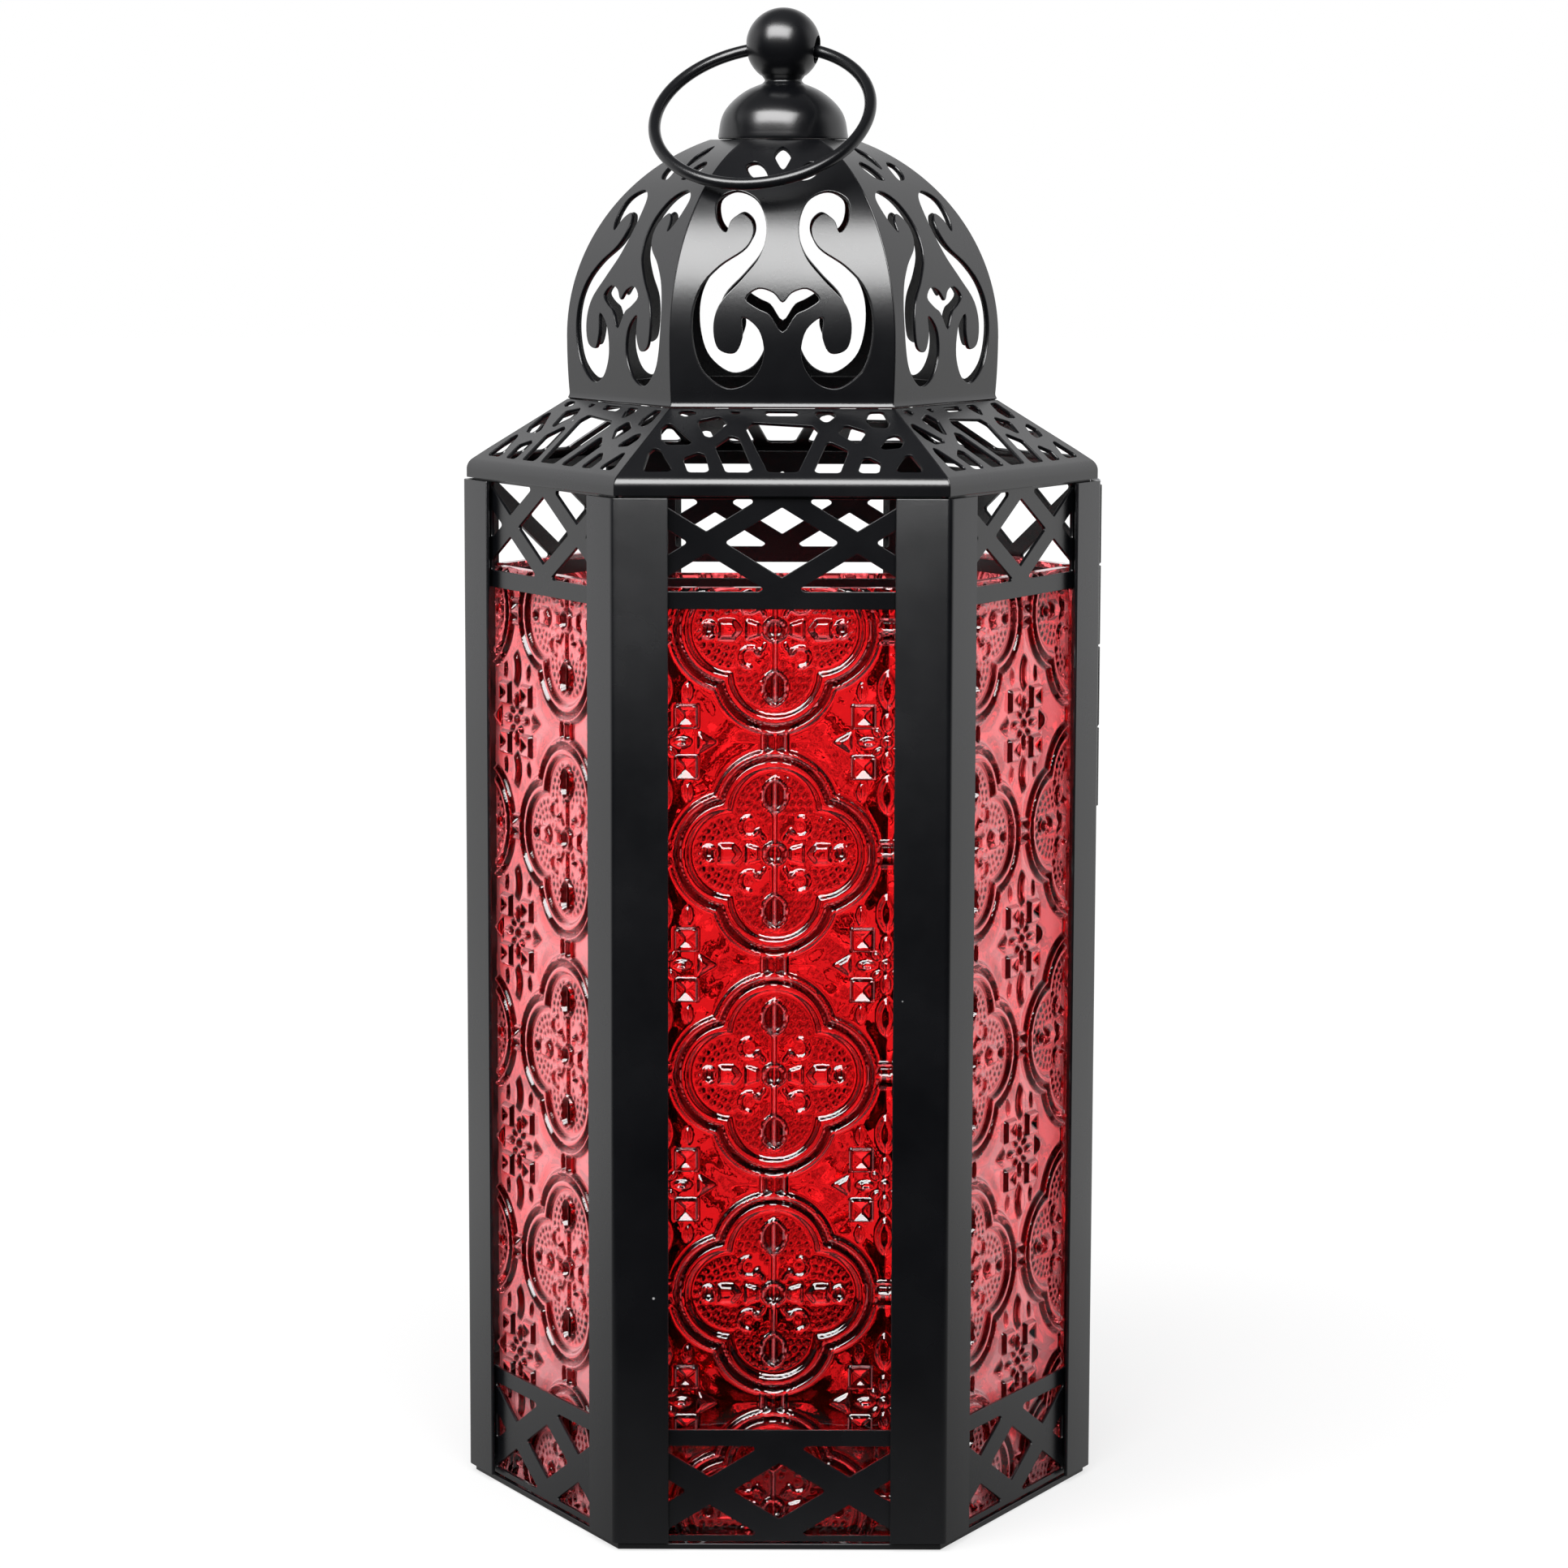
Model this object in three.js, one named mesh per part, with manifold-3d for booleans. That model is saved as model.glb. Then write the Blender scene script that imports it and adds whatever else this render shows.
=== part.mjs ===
import * as THREE from "three";
import { mergeVertices } from "three/addons/utils/BufferGeometryUtils.js";
import Module from "manifold-3d";

const wasm = await Module();
wasm.setup();

// Hexagonal candle lantern. Millimetres, +Z up, underside of the base at z = 0, front face towards -Y.
// A wall is placed by the direction of its normal, and drawn with u along the wall and z up.

const CORNER_RADIUS = 57.15;
const SHEET = 0.7;
const GAP = 0.3;
const COS30 = Math.cos(Math.PI / 6);
const TAN30 = Math.tan(Math.PI / 6);

// distances of the layers of a wall from the axis: inner faces
const POST_OUTER = CORNER_RADIUS * COS30;
const POST_INNER = POST_OUTER - SHEET;
const PLATE_INNER = 47.3;
const PANE_INNER = 44.0;
const PANE_THICK = 3.0;
const DOOR_PANE_INNER = 45.2;

const BASE_THICK = 1.0;
const BASE_APOTHEM = 48.4;
const WALL_FOOT = BASE_THICK + GAP;
const POST_TOP = 182.5;
const POST_LEG = 9.4;
const DOOR_SIDE_LEG = 2.6;
const POST_BEND = 1.6;

const WINDOW_FOOT = 21.2;
const WINDOW_TOP = 163.7;
const LATTICE_HALF = 20.2;
const LOWER = { foot: 2.4, top: 18.3, nodeU: 12.1, nodeZ: 10.3, bar: 4.2, tilt: 31.7 };
const UPPER = { foot: 166.7, top: 182.3, nodeU: 12.75, nodeZ: 175.0, bar: 3.2, tilt: 31.5 };
const PLATE_HALF = 27.0;
const PLATE_TOP = 184.8;

const PANE_HALF = 23.0;
const PANE_TOP = 167.2;
const BACK_PANE_TOP = 161.9;
const STRAP_THICK = 0.6;
const STRAP_BELOW_TOP = 3.3;
const STRAP_HEIGHT = 2.4;

const EAVE_OUTER = 48.95;
const EAVE_FOOT = 182.8;
const EAVE_ROLL = 2.4;
const ROLL_CENTRE_Z = 184.3;
const SLOPE = THREE.MathUtils.degToRad(35.6);
const SLOPE_FOOT = { a: 48.4, z: 186.0 };
const SLOPE_TOP_A = 33.2;

const DOME_FOOT = 197.1;
const DOME_WAIST = 208.0;
const DOME_RADIUS = 38.5;
const DOME_HEIGHT = 36.8;
const DOME_TOP = 242.7;
const DOME_STEPS = 8;

const CAP_RADIUS = 11.5;
const CAP_FOOT = 243.0;
const CAP_TOP = 252.5;
const BALL_RADIUS = 6.6;
const BALL_Z = 259.15;
const HOLE_Z = 258.4;
const HOLE_RADIUS = 2.45;
const HOLE_TURN = -13;
const SCREW_RADIUS = 1.2;

const RING_RADIUS = 19.0;
const RING_WIRE = 1.07;
const RING_LEAN = 50.8;
const RING_TILT = 1.5;
const RING_LIFT = 0.75;

const HINGE = { u: -24.3, a: POST_OUTER + GAP + 1.2 };
const KNUCKLE_RADIUS = 1.2;
const PIN_RADIUS = 0.5;
const DOOR_HALF = 25.4;
const DOOR_TOP = 182.2;
const DOOR_WINDOW_HALF = 19.3;
const LATCH_Z = 100;
const RIVET_U = 22.6;
const PEG_U = 26.6;

const FACES = [
  ["front", -90],
  ["front_right", -30],
  ["back_right", 30],
  ["back", 90],
  ["back_left", 150],
  ["front_left", 210],
];
const DOOR_FACE = 30;
const CORNERS = [
  ["right", 0],
  ["back_right", 60],
  ["back_left", 120],
  ["left", 180],
  ["front_left", 240],
  ["front_right", 300],
];

const BLACK = new THREE.MeshStandardMaterial({ color: 0x1b1b1d, metalness: 0.6, roughness: 0.45 });
const RED = new THREE.MeshStandardMaterial({ color: 0xc1121f, roughness: 0.1, transparent: true, opacity: 0.8 });
const STEEL = new THREE.MeshStandardMaterial({ color: 0x8a8d90, metalness: 0.9, roughness: 0.35 });

const root = new THREE.Group();
root.name = "lantern";

// ---- solids ----

function solid(geometry) {
  const bare = geometry.clone();
  bare.deleteAttribute("normal");
  bare.deleteAttribute("uv");
  const merged = mergeVertices(bare, 1e-4);
  return new wasm.Manifold(
    new wasm.Mesh({
      numProp: 3,
      vertProperties: new Float32Array(merged.attributes.position.array),
      triVerts: new Uint32Array(merged.index.array),
    }),
  );
}

function geometryOf(body) {
  const mesh = body.getMesh();
  const geometry = new THREE.BufferGeometry();
  const stride = mesh.numProp;
  const points = new Float32Array(mesh.numVert * 3);
  for (let i = 0; i < mesh.numVert; i++) {
    points.set(mesh.vertProperties.subarray(i * stride, i * stride + 3), i * 3);
  }
  geometry.setAttribute("position", new THREE.BufferAttribute(points, 3));
  geometry.setIndex(new THREE.BufferAttribute(new Uint32Array(mesh.triVerts), 1));
  return geometry;
}

function addNode(name, body, material) {
  const flat = geometryOf(body).toNonIndexed();
  flat.computeVertexNormals();
  const mesh = new THREE.Mesh(flat, material);
  mesh.name = name;
  root.add(mesh);
}

function shapeOf(points) {
  return new THREE.Shape(points.map(([x, y]) => new THREE.Vector2(x, y)));
}

function prism(shape, height, steps = 4) {
  return new THREE.ExtrudeGeometry(shape, { depth: height, bevelEnabled: false, curveSegments: steps });
}

// A plate on the front wall: the shape in (u, z), from the distance `inner` outwards.
function plate(shape, inner, thick, steps = 4) {
  return solid(prism(shape, thick, steps).rotateX(Math.PI / 2).translate(0, -inner, 0));
}

// A length across the front wall: the shape in (distance from the axis, z), from u0 to u1.
function across(shape, u0, u1, steps = 4) {
  const geometry = prism(shape, u1 - u0, steps);
  geometry.applyMatrix4(new THREE.Matrix4().set(0, 0, 1, u0, -1, 0, 0, 0, 0, 1, 0, 0, 0, 0, 0, 1));
  return solid(flipIfInsideOut(geometry));
}

// An upright length of the plan shape in (u, distance from the axis) on the front wall.
function upright(points, z0, z1) {
  const plan = shapeOf(points.map(([u, a]) => [u, -a]));
  return solid(prism(plan, z1 - z0).translate(0, 0, z0));
}

function flipIfInsideOut(geometry) {
  const position = geometry.attributes.position;
  const a = new THREE.Vector3();
  const b = new THREE.Vector3();
  const c = new THREE.Vector3();
  let volume = 0;
  for (let i = 0; i < position.count; i += 3) {
    a.fromBufferAttribute(position, i);
    b.fromBufferAttribute(position, i + 1);
    c.fromBufferAttribute(position, i + 2);
    volume += a.dot(b.cross(c));
  }
  if (volume < 0) {
    for (let i = 0; i < position.count; i += 3) {
      const [x, y, z] = [position.getX(i), position.getY(i), position.getZ(i)];
      position.setXYZ(i, position.getX(i + 1), position.getY(i + 1), position.getZ(i + 1));
      position.setXYZ(i + 1, x, y, z);
    }
  }
  return geometry;
}

function lathe(points, segments) {
  const profile = points.map(([r, z]) => new THREE.Vector2(r, z));
  return solid(flipIfInsideOut(new THREE.LatheGeometry(profile, segments).rotateX(Math.PI / 2).toNonIndexed()));
}

function box(x0, x1, y0, y1, z0, z1) {
  const geometry = new THREE.BoxGeometry(x1 - x0, y1 - y0, z1 - z0);
  return solid(geometry.translate((x0 + x1) / 2, (y0 + y1) / 2, (z0 + z1) / 2));
}

function rod(radius, z0, z1, x, y, segments = 16) {
  const geometry = new THREE.CylinderGeometry(radius, radius, z1 - z0, segments);
  return solid(geometry.rotateX(Math.PI / 2).translate(x, y, (z0 + z1) / 2));
}

// A pin that stands out of the front wall at (u, z), from one distance to another.
function stud(radius, u, z, inner, outer, segments = 14) {
  const geometry = new THREE.CylinderGeometry(radius, radius, outer - inner, segments);
  return solid(geometry.translate(u, -(inner + outer) / 2, z));
}

function turned(body, degrees) {
  return body.rotate([0, 0, degrees]);
}

function onWall(body, normal) {
  return turned(body, normal + 90);
}

// The part of a wall between the mitre planes at its two corners.
function wedge(reach, z0, z1) {
  const shift = GAP;
  const points = [
    [0, shift],
    [reach * TAN30, reach + shift],
    [-reach * TAN30, reach + shift],
  ];
  return upright(points, z0, z1);
}

// ---- base ----

function hexagonRing(outer, inner, z0, z1) {
  const ring = solid(prism(hexagonShape(outer), z1 - z0).translate(0, 0, z0));
  if (!inner) {
    return ring;
  }
  return ring.subtract(solid(prism(hexagonShape(inner), z1 - z0 + 2).translate(0, 0, z0 - 1)));
}

function hexagonShape(apothem) {
  const radius = apothem / COS30;
  const points = [];
  for (let i = 0; i < 6; i++) {
    const turn = (i * Math.PI) / 3;
    points.push([radius * Math.cos(turn), radius * Math.sin(turn)]);
  }
  return shapeOf(points);
}

function makeBase() {
  const floor = hexagonRing(BASE_APOTHEM, 0, 0, BASE_THICK);
  const paneStop = hexagonRing(PANE_INNER - GAP, PANE_INNER - GAP - 0.9, BASE_THICK - 0.4, 3.0);
  const bead = lathe([[21, 0.6], [23, 0.6], [23, 1.5], [22.5, 2.1], [21.5, 2.1], [21, 1.5], [21, 0.6]], 28);
  addNode("base_plate", floor.add(paneStop).add(bead), BLACK);
}

// ---- corner posts ----

function postShape(legA, legB) {
  const centre = CORNER_RADIUS - POST_BEND / COS30;
  const inner = POST_BEND - SHEET;
  const way = [-0.5, COS30];
  const normal = [COS30 * SHEET, 0.5 * SHEET];
  const shape = new THREE.Shape();
  shape.moveTo(CORNER_RADIUS + way[0] * legA, -way[1] * legA);
  shape.absarc(centre, 0, POST_BEND, -Math.PI / 6, Math.PI / 6, false);
  shape.lineTo(CORNER_RADIUS + way[0] * legB, way[1] * legB);
  shape.lineTo(CORNER_RADIUS + way[0] * legB - normal[0], way[1] * legB - normal[1]);
  shape.absarc(centre, 0, inner, Math.PI / 6, -Math.PI / 6, true);
  shape.lineTo(CORNER_RADIUS + way[0] * legA - normal[0], -way[1] * legA + normal[1]);
  shape.closePath();
  return shape;
}

function makePosts() {
  for (const [name, corner] of CORNERS) {
    const legA = corner === 60 ? DOOR_SIDE_LEG : POST_LEG;
    const legB = corner === 0 ? DOOR_SIDE_LEG : POST_LEG;
    const strip = solid(prism(postShape(legA, legB), POST_TOP - WALL_FOOT, 3).translate(0, 0, WALL_FOOT));
    addNode("post_" + name, turned(strip, corner), BLACK);
  }
}

// ---- lattice plates, glass and straps ----

// What is cut from a sheet to leave a trellis of crossed bars: both crossings and the rails stay.
function latticeCutter(band, inner, outer) {
  const y0 = -outer - 1;
  const y1 = -inner + 1;
  let cutter = box(-LATTICE_HALF, LATTICE_HALF, y0, y1, band.foot, band.top);
  for (const side of [-1, 1]) {
    for (const lean of [-1, 1]) {
      const bar = box(-40, 40, y0 - 1, y1 + 1, -band.bar / 2, band.bar / 2);
      cutter = cutter.subtract(bar.rotate([0, lean * band.tilt, 0]).translate([side * band.nodeU, 0, band.nodeZ]));
    }
  }
  return cutter;
}

function latticePlate(band, foot, top) {
  const outer = PLATE_INNER + SHEET;
  const sheet = box(-PLATE_HALF, PLATE_HALF, -outer, -PLATE_INNER, foot, top);
  return sheet.subtract(latticeCutter(band, PLATE_INNER, outer));
}

// A strip across the back of a pane whose ends turn out past the pane's edges.
function strap(paneInner, foot) {
  const back = paneInner - GAP - STRAP_THICK;
  const front = paneInner + PANE_THICK;
  const half = PANE_HALF + GAP;
  const points = [
    [-half - STRAP_THICK, back],
    [half + STRAP_THICK, back],
    [half + STRAP_THICK, front],
    [half, front],
    [half, back + STRAP_THICK],
    [-half, back + STRAP_THICK],
    [-half, front],
    [-half - STRAP_THICK, front],
  ];
  return upright(points, foot, foot + STRAP_HEIGHT);
}

function pane(inner, top) {
  return box(-PANE_HALF, PANE_HALF, -inner - PANE_THICK, -inner, WALL_FOOT, top);
}

function makeWalls() {
  const lower = latticePlate(LOWER, WALL_FOOT, WINDOW_FOOT);
  const upper = latticePlate(UPPER, WINDOW_TOP, PLATE_TOP);
  for (const [name, normal] of FACES) {
    const isDoor = normal === DOOR_FACE;
    const paneInner = isDoor ? DOOR_PANE_INNER : PANE_INNER;
    const paneTop = name === "back" ? BACK_PANE_TOP : PANE_TOP;
    if (!isDoor) {
      addNode("lattice_lower_" + name, onWall(lower, normal), BLACK);
      addNode("lattice_upper_" + name, onWall(upper, normal), BLACK);
    }
    addNode("pane_" + name, onWall(pane(paneInner, paneTop), normal), RED);
    addNode("pane_strap_" + name, onWall(strap(paneInner, paneTop - STRAP_BELOW_TOP), normal), BLACK);
  }
}

// ---- door ----

function makeDoor() {
  const depth = 46.0;
  const points = [
    [-DOOR_HALF, POST_OUTER],
    [-DOOR_HALF, depth],
    [-DOOR_HALF + SHEET, depth],
    [-DOOR_HALF + SHEET, POST_INNER],
    [DOOR_HALF - SHEET, POST_INNER],
    [DOOR_HALF - SHEET, depth],
    [DOOR_HALF, depth],
    [DOOR_HALF, POST_OUTER],
  ];
  const tray = upright(points, WALL_FOOT, DOOR_TOP);
  const window = box(-DOOR_WINDOW_HALF, DOOR_WINDOW_HALF, -POST_OUTER - 1, -depth, WINDOW_FOOT, WINDOW_TOP);
  const frame = tray
    .subtract(window)
    .subtract(latticeCutter({ ...LOWER, top: 18.2 }, POST_INNER, POST_OUTER))
    .subtract(latticeCutter({ ...UPPER, top: 181.2 }, POST_INNER, POST_OUTER));
  addNode("door_frame", onWall(frame, DOOR_FACE), BLACK);
}

// One knuckle of the hinge with its leaf: side 1 lies on the door, side -1 on the post.
function knuckle(side, z0, z1) {
  const reach = side > 0 ? HINGE.u + 4.6 : HINGE.u - 3.1;
  const foot = POST_OUTER + GAP;
  const leaf = box(Math.min(HINGE.u, reach), Math.max(HINGE.u, reach), -foot - 0.6, -foot, z0, z1);
  const barrel = rod(KNUCKLE_RADIUS, z0, z1, HINGE.u, -HINGE.a, 16);
  return barrel.add(leaf).subtract(rod(PIN_RADIUS + GAP, z0 - 1, z1 + 1, HINGE.u, -HINGE.a, 12));
}

function makeHinge() {
  addNode("hinge_post_knuckle_upper", onWall(knuckle(-1, 167.3, 181.5), DOOR_FACE), BLACK);
  addNode("hinge_door_knuckle_upper", onWall(knuckle(1, 152.6, 166.9), DOOR_FACE), BLACK);
  addNode("hinge_post_knuckle_lower", onWall(knuckle(-1, 137.9, 152.2), DOOR_FACE), BLACK);
  addNode("hinge_door_knuckle_lower", onWall(knuckle(1, 123.2, 137.5), DOOR_FACE), BLACK);
  const pin = rod(PIN_RADIUS, 122.4, 182.2, HINGE.u, -HINGE.a, 12);
  const head = rod(1.0, 181.8, 182.6, HINGE.u, -HINGE.a, 12);
  addNode("hinge_pin", onWall(pin.add(head), DOOR_FACE), STEEL);
}

// The latch hook closes over a plain peg from above and is open at its foot.
function hookShape() {
  const half = 1.9;
  const notch = 1.1;
  const lip = 28.5;
  const shape = new THREE.Shape();
  shape.moveTo(RIVET_U, LATCH_Z - half);
  shape.lineTo(PEG_U - notch, LATCH_Z - 1.1);
  shape.lineTo(PEG_U - notch, LATCH_Z);
  shape.absarc(PEG_U, LATCH_Z, notch, Math.PI, 0, true);
  shape.lineTo(PEG_U + notch, LATCH_Z - 0.8);
  shape.lineTo(lip, LATCH_Z - 0.8);
  shape.lineTo(lip, LATCH_Z + half - 0.8);
  shape.lineTo(lip - 0.8, LATCH_Z + half);
  shape.lineTo(RIVET_U, LATCH_Z + half);
  shape.absarc(RIVET_U, LATCH_Z, half, Math.PI / 2, -Math.PI / 2, false);
  const bore = new THREE.Path();
  bore.absarc(RIVET_U, LATCH_Z, 1.15, 0, 2 * Math.PI, true);
  shape.holes.push(bore);
  return shape;
}

function makeLatch() {
  const foot = POST_OUTER + GAP;
  const hook = plate(hookShape(), foot + 0.3, 0.7, 5);
  const rivet = stud(0.8, RIVET_U, LATCH_Z, foot, foot + 1.5).add(
    stud(1.7, RIVET_U, LATCH_Z, foot + 1.3, foot + 1.9),
  );
  const peg = stud(0.6, PEG_U, LATCH_Z, foot, foot + 1.5, 12);
  addNode("latch_hook", onWall(hook, DOOR_FACE), BLACK);
  addNode("latch_rivet", onWall(rivet, DOOR_FACE), BLACK);
  addNode("latch_peg", onWall(peg, DOOR_FACE), BLACK);
}

// ---- roof ----

// Holes of a roof panel as (u, distance up the slope), from the left foot to the right top.
const ROOF_HOLES = [
  [[-23.4, 1.8], [-22.5, 6.6], [-21.6, 7.9], [-20.7, 7.2], [-18.5, 1.8]],
  [[-20.6, 13.2], [-19.3, 14.8], [-15.4, 9.7], [-15.8, 9.0], [-19.4, 8.9], [-20.5, 10.4]],
  [[-16.7, 5.2], [-14.2, 6.7], [-13.1, 6.0], [-12.4, 1.7], [-15.8, 1.7]],
  [[-14.5, 15.2], [-10.7, 16.5], [-9.5, 14.6], [-12.2, 10.9], [-13.1, 11.4]],
  [[-11.3, 8.4], [-8.8, 11.2], [-7.4, 10.5], [-4.9, 1.7], [-9.4, 1.7]],
  [[-6.1, 13.3], [-5.0, 14.8], [5.1, 13.9], [6.0, 12.6], [2.6, 1.7], [-2.3, 1.7]],
  [[5.4, 1.6], [7.8, 9.8], [11.2, 7.3], [9.7, 1.6]],
  [[9.6, 12.1], [10.8, 14.2], [14.3, 12.5], [13.0, 9.6], [12.2, 9.6]],
  [[12.9, 1.6], [13.8, 5.3], [14.7, 5.5], [16.6, 3.9], [16.3, 1.6]],
  [[16.2, 7.5], [18.1, 10.9], [19.5, 11.6], [20.6, 9.9], [20.0, 8.2]],
  [[19.1, 1.8], [21.0, 6.0], [21.8, 6.2], [24.0, 1.8]],
  [[-17.8, 17.3], [-16.8, 18.0], [-15.4, 18.0], [-14.6, 17.3], [-16.6, 16.6]],
  [[-9.1, 17.9], [-6.9, 17.9], [-7.9, 16.8]],
  [[-2.8, 17.9], [2.6, 17.9], [2.6, 16.8], [-2.6, 16.8]],
  [[5.0, 17.9], [8.7, 17.9], [9.0, 16.7], [7.5, 14.8]],
  [[14.4, 15.4], [15.1, 17.8], [17.2, 17.9], [18.2, 14.8], [17.8, 13.5], [15.3, 13.8]],
];

function roofProfile() {
  const centreA = EAVE_OUTER - EAVE_ROLL;
  const end = Math.PI / 2 - SLOPE;
  const inner = EAVE_ROLL - SHEET;
  const topZ = SLOPE_FOOT.z + (SLOPE_FOOT.a - SLOPE_TOP_A) * Math.tan(SLOPE);
  const shape = new THREE.Shape();
  shape.moveTo(EAVE_OUTER - SHEET, EAVE_FOOT);
  shape.lineTo(EAVE_OUTER, EAVE_FOOT);
  shape.absarc(centreA, ROLL_CENTRE_Z, EAVE_ROLL, 0, end, false);
  shape.lineTo(SLOPE_TOP_A, topZ);
  shape.lineTo(SLOPE_TOP_A - SHEET * Math.sin(SLOPE), topZ - SHEET * Math.cos(SLOPE));
  shape.absarc(centreA, ROLL_CENTRE_Z, inner, end, 0, true);
  shape.closePath();
  return shape;
}

// Turns a cutter drawn flat in (u, distance up the slope) onto the slope of the front wall.
function ontoSlope(body) {
  const tilt = THREE.MathUtils.radToDeg(SLOPE);
  return body.rotate([tilt, 0, 0]).translate([0, -SLOPE_FOOT.a, SLOPE_FOOT.z]);
}

function makeRoof() {
  let panel = across(roofProfile(), -30, 30, 4).intersect(wedge(70, EAVE_FOOT - 1, 200));
  for (const hole of ROOF_HOLES) {
    panel = panel.subtract(ontoSlope(solid(prism(shapeOf(hole), 4).translate(0, 0, -2))));
  }
  for (const [name, normal] of FACES) {
    addNode("roof_panel_" + name, onWall(panel, normal), BLACK);
  }
}

// ---- dome ----

function domeRadius(z) {
  if (z < DOME_WAIST) {
    const down = (DOME_WAIST - z) / (DOME_WAIST - DOME_FOOT);
    return DOME_RADIUS - 0.5 * down * down;
  }
  const up = (z - DOME_WAIST) / DOME_HEIGHT;
  return DOME_RADIUS * Math.sqrt(1 - up * up);
}

function goreProfile() {
  const outer = [];
  const inner = [];
  const last = Math.asin((DOME_TOP - DOME_WAIST) / DOME_HEIGHT);
  const heights = [DOME_FOOT, 202.5];
  for (let i = 0; i <= DOME_STEPS; i++) {
    heights.push(DOME_WAIST + DOME_HEIGHT * Math.sin((last * i) / DOME_STEPS));
  }
  for (const z of heights) {
    const slope = (domeRadius(z + 0.01) - domeRadius(z - 0.01)) * 0.5e2 * COS30;
    const length = Math.hypot(1, slope);
    outer.push([domeRadius(z) * COS30, z]);
    inner.push([domeRadius(z) * COS30 - SHEET / length, z + (SHEET * slope) / length]);
  }
  inner[0][1] = DOME_FOOT;
  return shapeOf([...outer, ...inner.reverse()]);
}

// Outline of the right-hand scroll: a ribbon that curls in at both ends.
const SCROLL = [
  [9.8, 226.8], [8.9, 228.8], [7.0, 229.9], [5.3, 228.6], [5.0, 226.6], [6.2, 224.2], [10.8, 221.0],
  [13.9, 217.6], [15.4, 213.4], [15.3, 207.6], [13.6, 203.1], [9.4, 200.2], [5.6, 201.4], [3.3, 205.3],
  [4.1, 210.2], [6.9, 212.3], [6.9, 208.9], [8.3, 206.2], [11.0, 206.9], [11.9, 210.6], [10.9, 214.5],
  [7.0, 218.8], [3.9, 222.8], [2.8, 227.6], [4.4, 232.2], [7.9, 233.8], [11.2, 232.2], [11.2, 228.6],
];
const HEART = [
  [0, 209.9], [2.3, 212.9], [4.3, 213.9], [6.3, 215.5], [4.2, 217.2], [1.6, 216.5],
  [0, 214.9], [-1.6, 216.5], [-4.2, 217.2], [-6.3, 215.5], [-4.3, 213.9], [-2.3, 212.9],
];
const MIDDLE_LEAF = [[0, 237.5], [0.9, 238.6], [1.4, 240.0], [0, 241.4], [-1.4, 240.0], [-0.9, 238.6]];
const SIDE_LEAF = [[2.6, 235.8], [4.4, 235.7], [5.9, 236.6], [6.4, 238.1], [4.7, 238.7], [3.2, 237.7]];

function mirrored(points) {
  return points.map(([u, z]) => [-u, z]);
}

function makeDome() {
  let gore = across(goreProfile(), -24, 24).intersect(wedge(60, 190, 250));
  const cuts = [SCROLL, mirrored(SCROLL), HEART, MIDDLE_LEAF, SIDE_LEAF, mirrored(SIDE_LEAF)];
  for (const outline of cuts) {
    gore = gore.subtract(plate(shapeOf(outline), 8, 40));
  }
  for (const [name, normal] of FACES) {
    addNode("dome_gore_" + name, onWall(gore, normal), BLACK);
  }
  const collarOuter = domeRadius(DOME_FOOT) * COS30 - SHEET - GAP;
  addNode("dome_collar", hexagonRing(collarOuter, collarOuter - SHEET, 197.5, 199.6), BLACK);
}

// ---- cap, finial and ring ----

function makeCap() {
  const bore = SCREW_RADIUS + GAP;
  const profile = [
    [CAP_RADIUS - SHEET, CAP_FOOT],
    [CAP_RADIUS, CAP_FOOT],
    [11.4, 243.9],
    [11.1, 245.8],
    [10.5, 247.4],
    [9.4, 248.9],
    [8.0, 250.2],
    [6.4, 251.3],
    [4.5, 252.1],
    [3.6, CAP_TOP],
    [bore, CAP_TOP],
    [bore, CAP_TOP - SHEET],
    [3.4, CAP_TOP - SHEET],
    [4.2, 251.45],
    [6.05, 250.7],
    [7.55, 249.65],
    [8.85, 248.5],
    [9.85, 247.1],
    [10.4, 245.65],
    [10.7, 243.85],
    [CAP_RADIUS - SHEET, CAP_FOOT],
  ];
  addNode("top_cap", lathe(profile, 24), BLACK);
}

function makeFinial() {
  const neckFoot = CAP_TOP + GAP;
  const neckTop = neckFoot + 0.8;
  const bore = SCREW_RADIUS + GAP;
  const neck = rod(3.3, neckFoot, neckTop, 0, 0, 20).subtract(rod(bore, neckFoot - 1, neckTop + 1, 0, 0, 12));
  addNode("finial_neck", neck, BLACK);

  const sphere = solid(new THREE.SphereGeometry(BALL_RADIUS, 20, 12).rotateX(Math.PI / 2).translate(0, 0, BALL_Z));
  const crossHole = solid(new THREE.CylinderGeometry(HOLE_RADIUS, HOLE_RADIUS, 20, 16).rotateZ(Math.PI / 2))
    .rotate([0, 0, HOLE_TURN])
    .translate([0, 0, HOLE_Z]);
  const ball = sphere
    .subtract(box(-8, 8, -8, 8, 250, neckTop + GAP))
    .subtract(crossHole)
    .subtract(rod(bore, 252, 254.8, 0, 0, 12));
  addNode("finial_ball", ball, BLACK);

  const nutTop = CAP_TOP - SHEET - GAP;
  const nutFoot = nutTop - 2.2;
  const nut = rod(2.9, nutFoot, nutTop, 0, 0, 6).subtract(rod(bore, nutFoot - 1, nutTop + 1, 0, 0, 12));
  addNode("finial_nut", nut, STEEL);
  addNode("finial_screw", rod(SCREW_RADIUS, nutFoot - 0.4, 254.5, 0, 0, 12), STEEL);
}

function makeRing() {
  const torus = new THREE.TorusGeometry(RING_RADIUS, RING_WIRE, 8, 32);
  const ring = solid(torus.rotateX(Math.PI / 2).translate(0, 0, RING_LIFT - RING_RADIUS))
    .rotate([0, RING_TILT, 0])
    .rotate([-RING_LEAN, 0, 0])
    .rotate([0, 0, HOLE_TURN])
    .translate([0, 0, HOLE_Z]);
  addNode("ring_handle", ring, BLACK);
}

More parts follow.
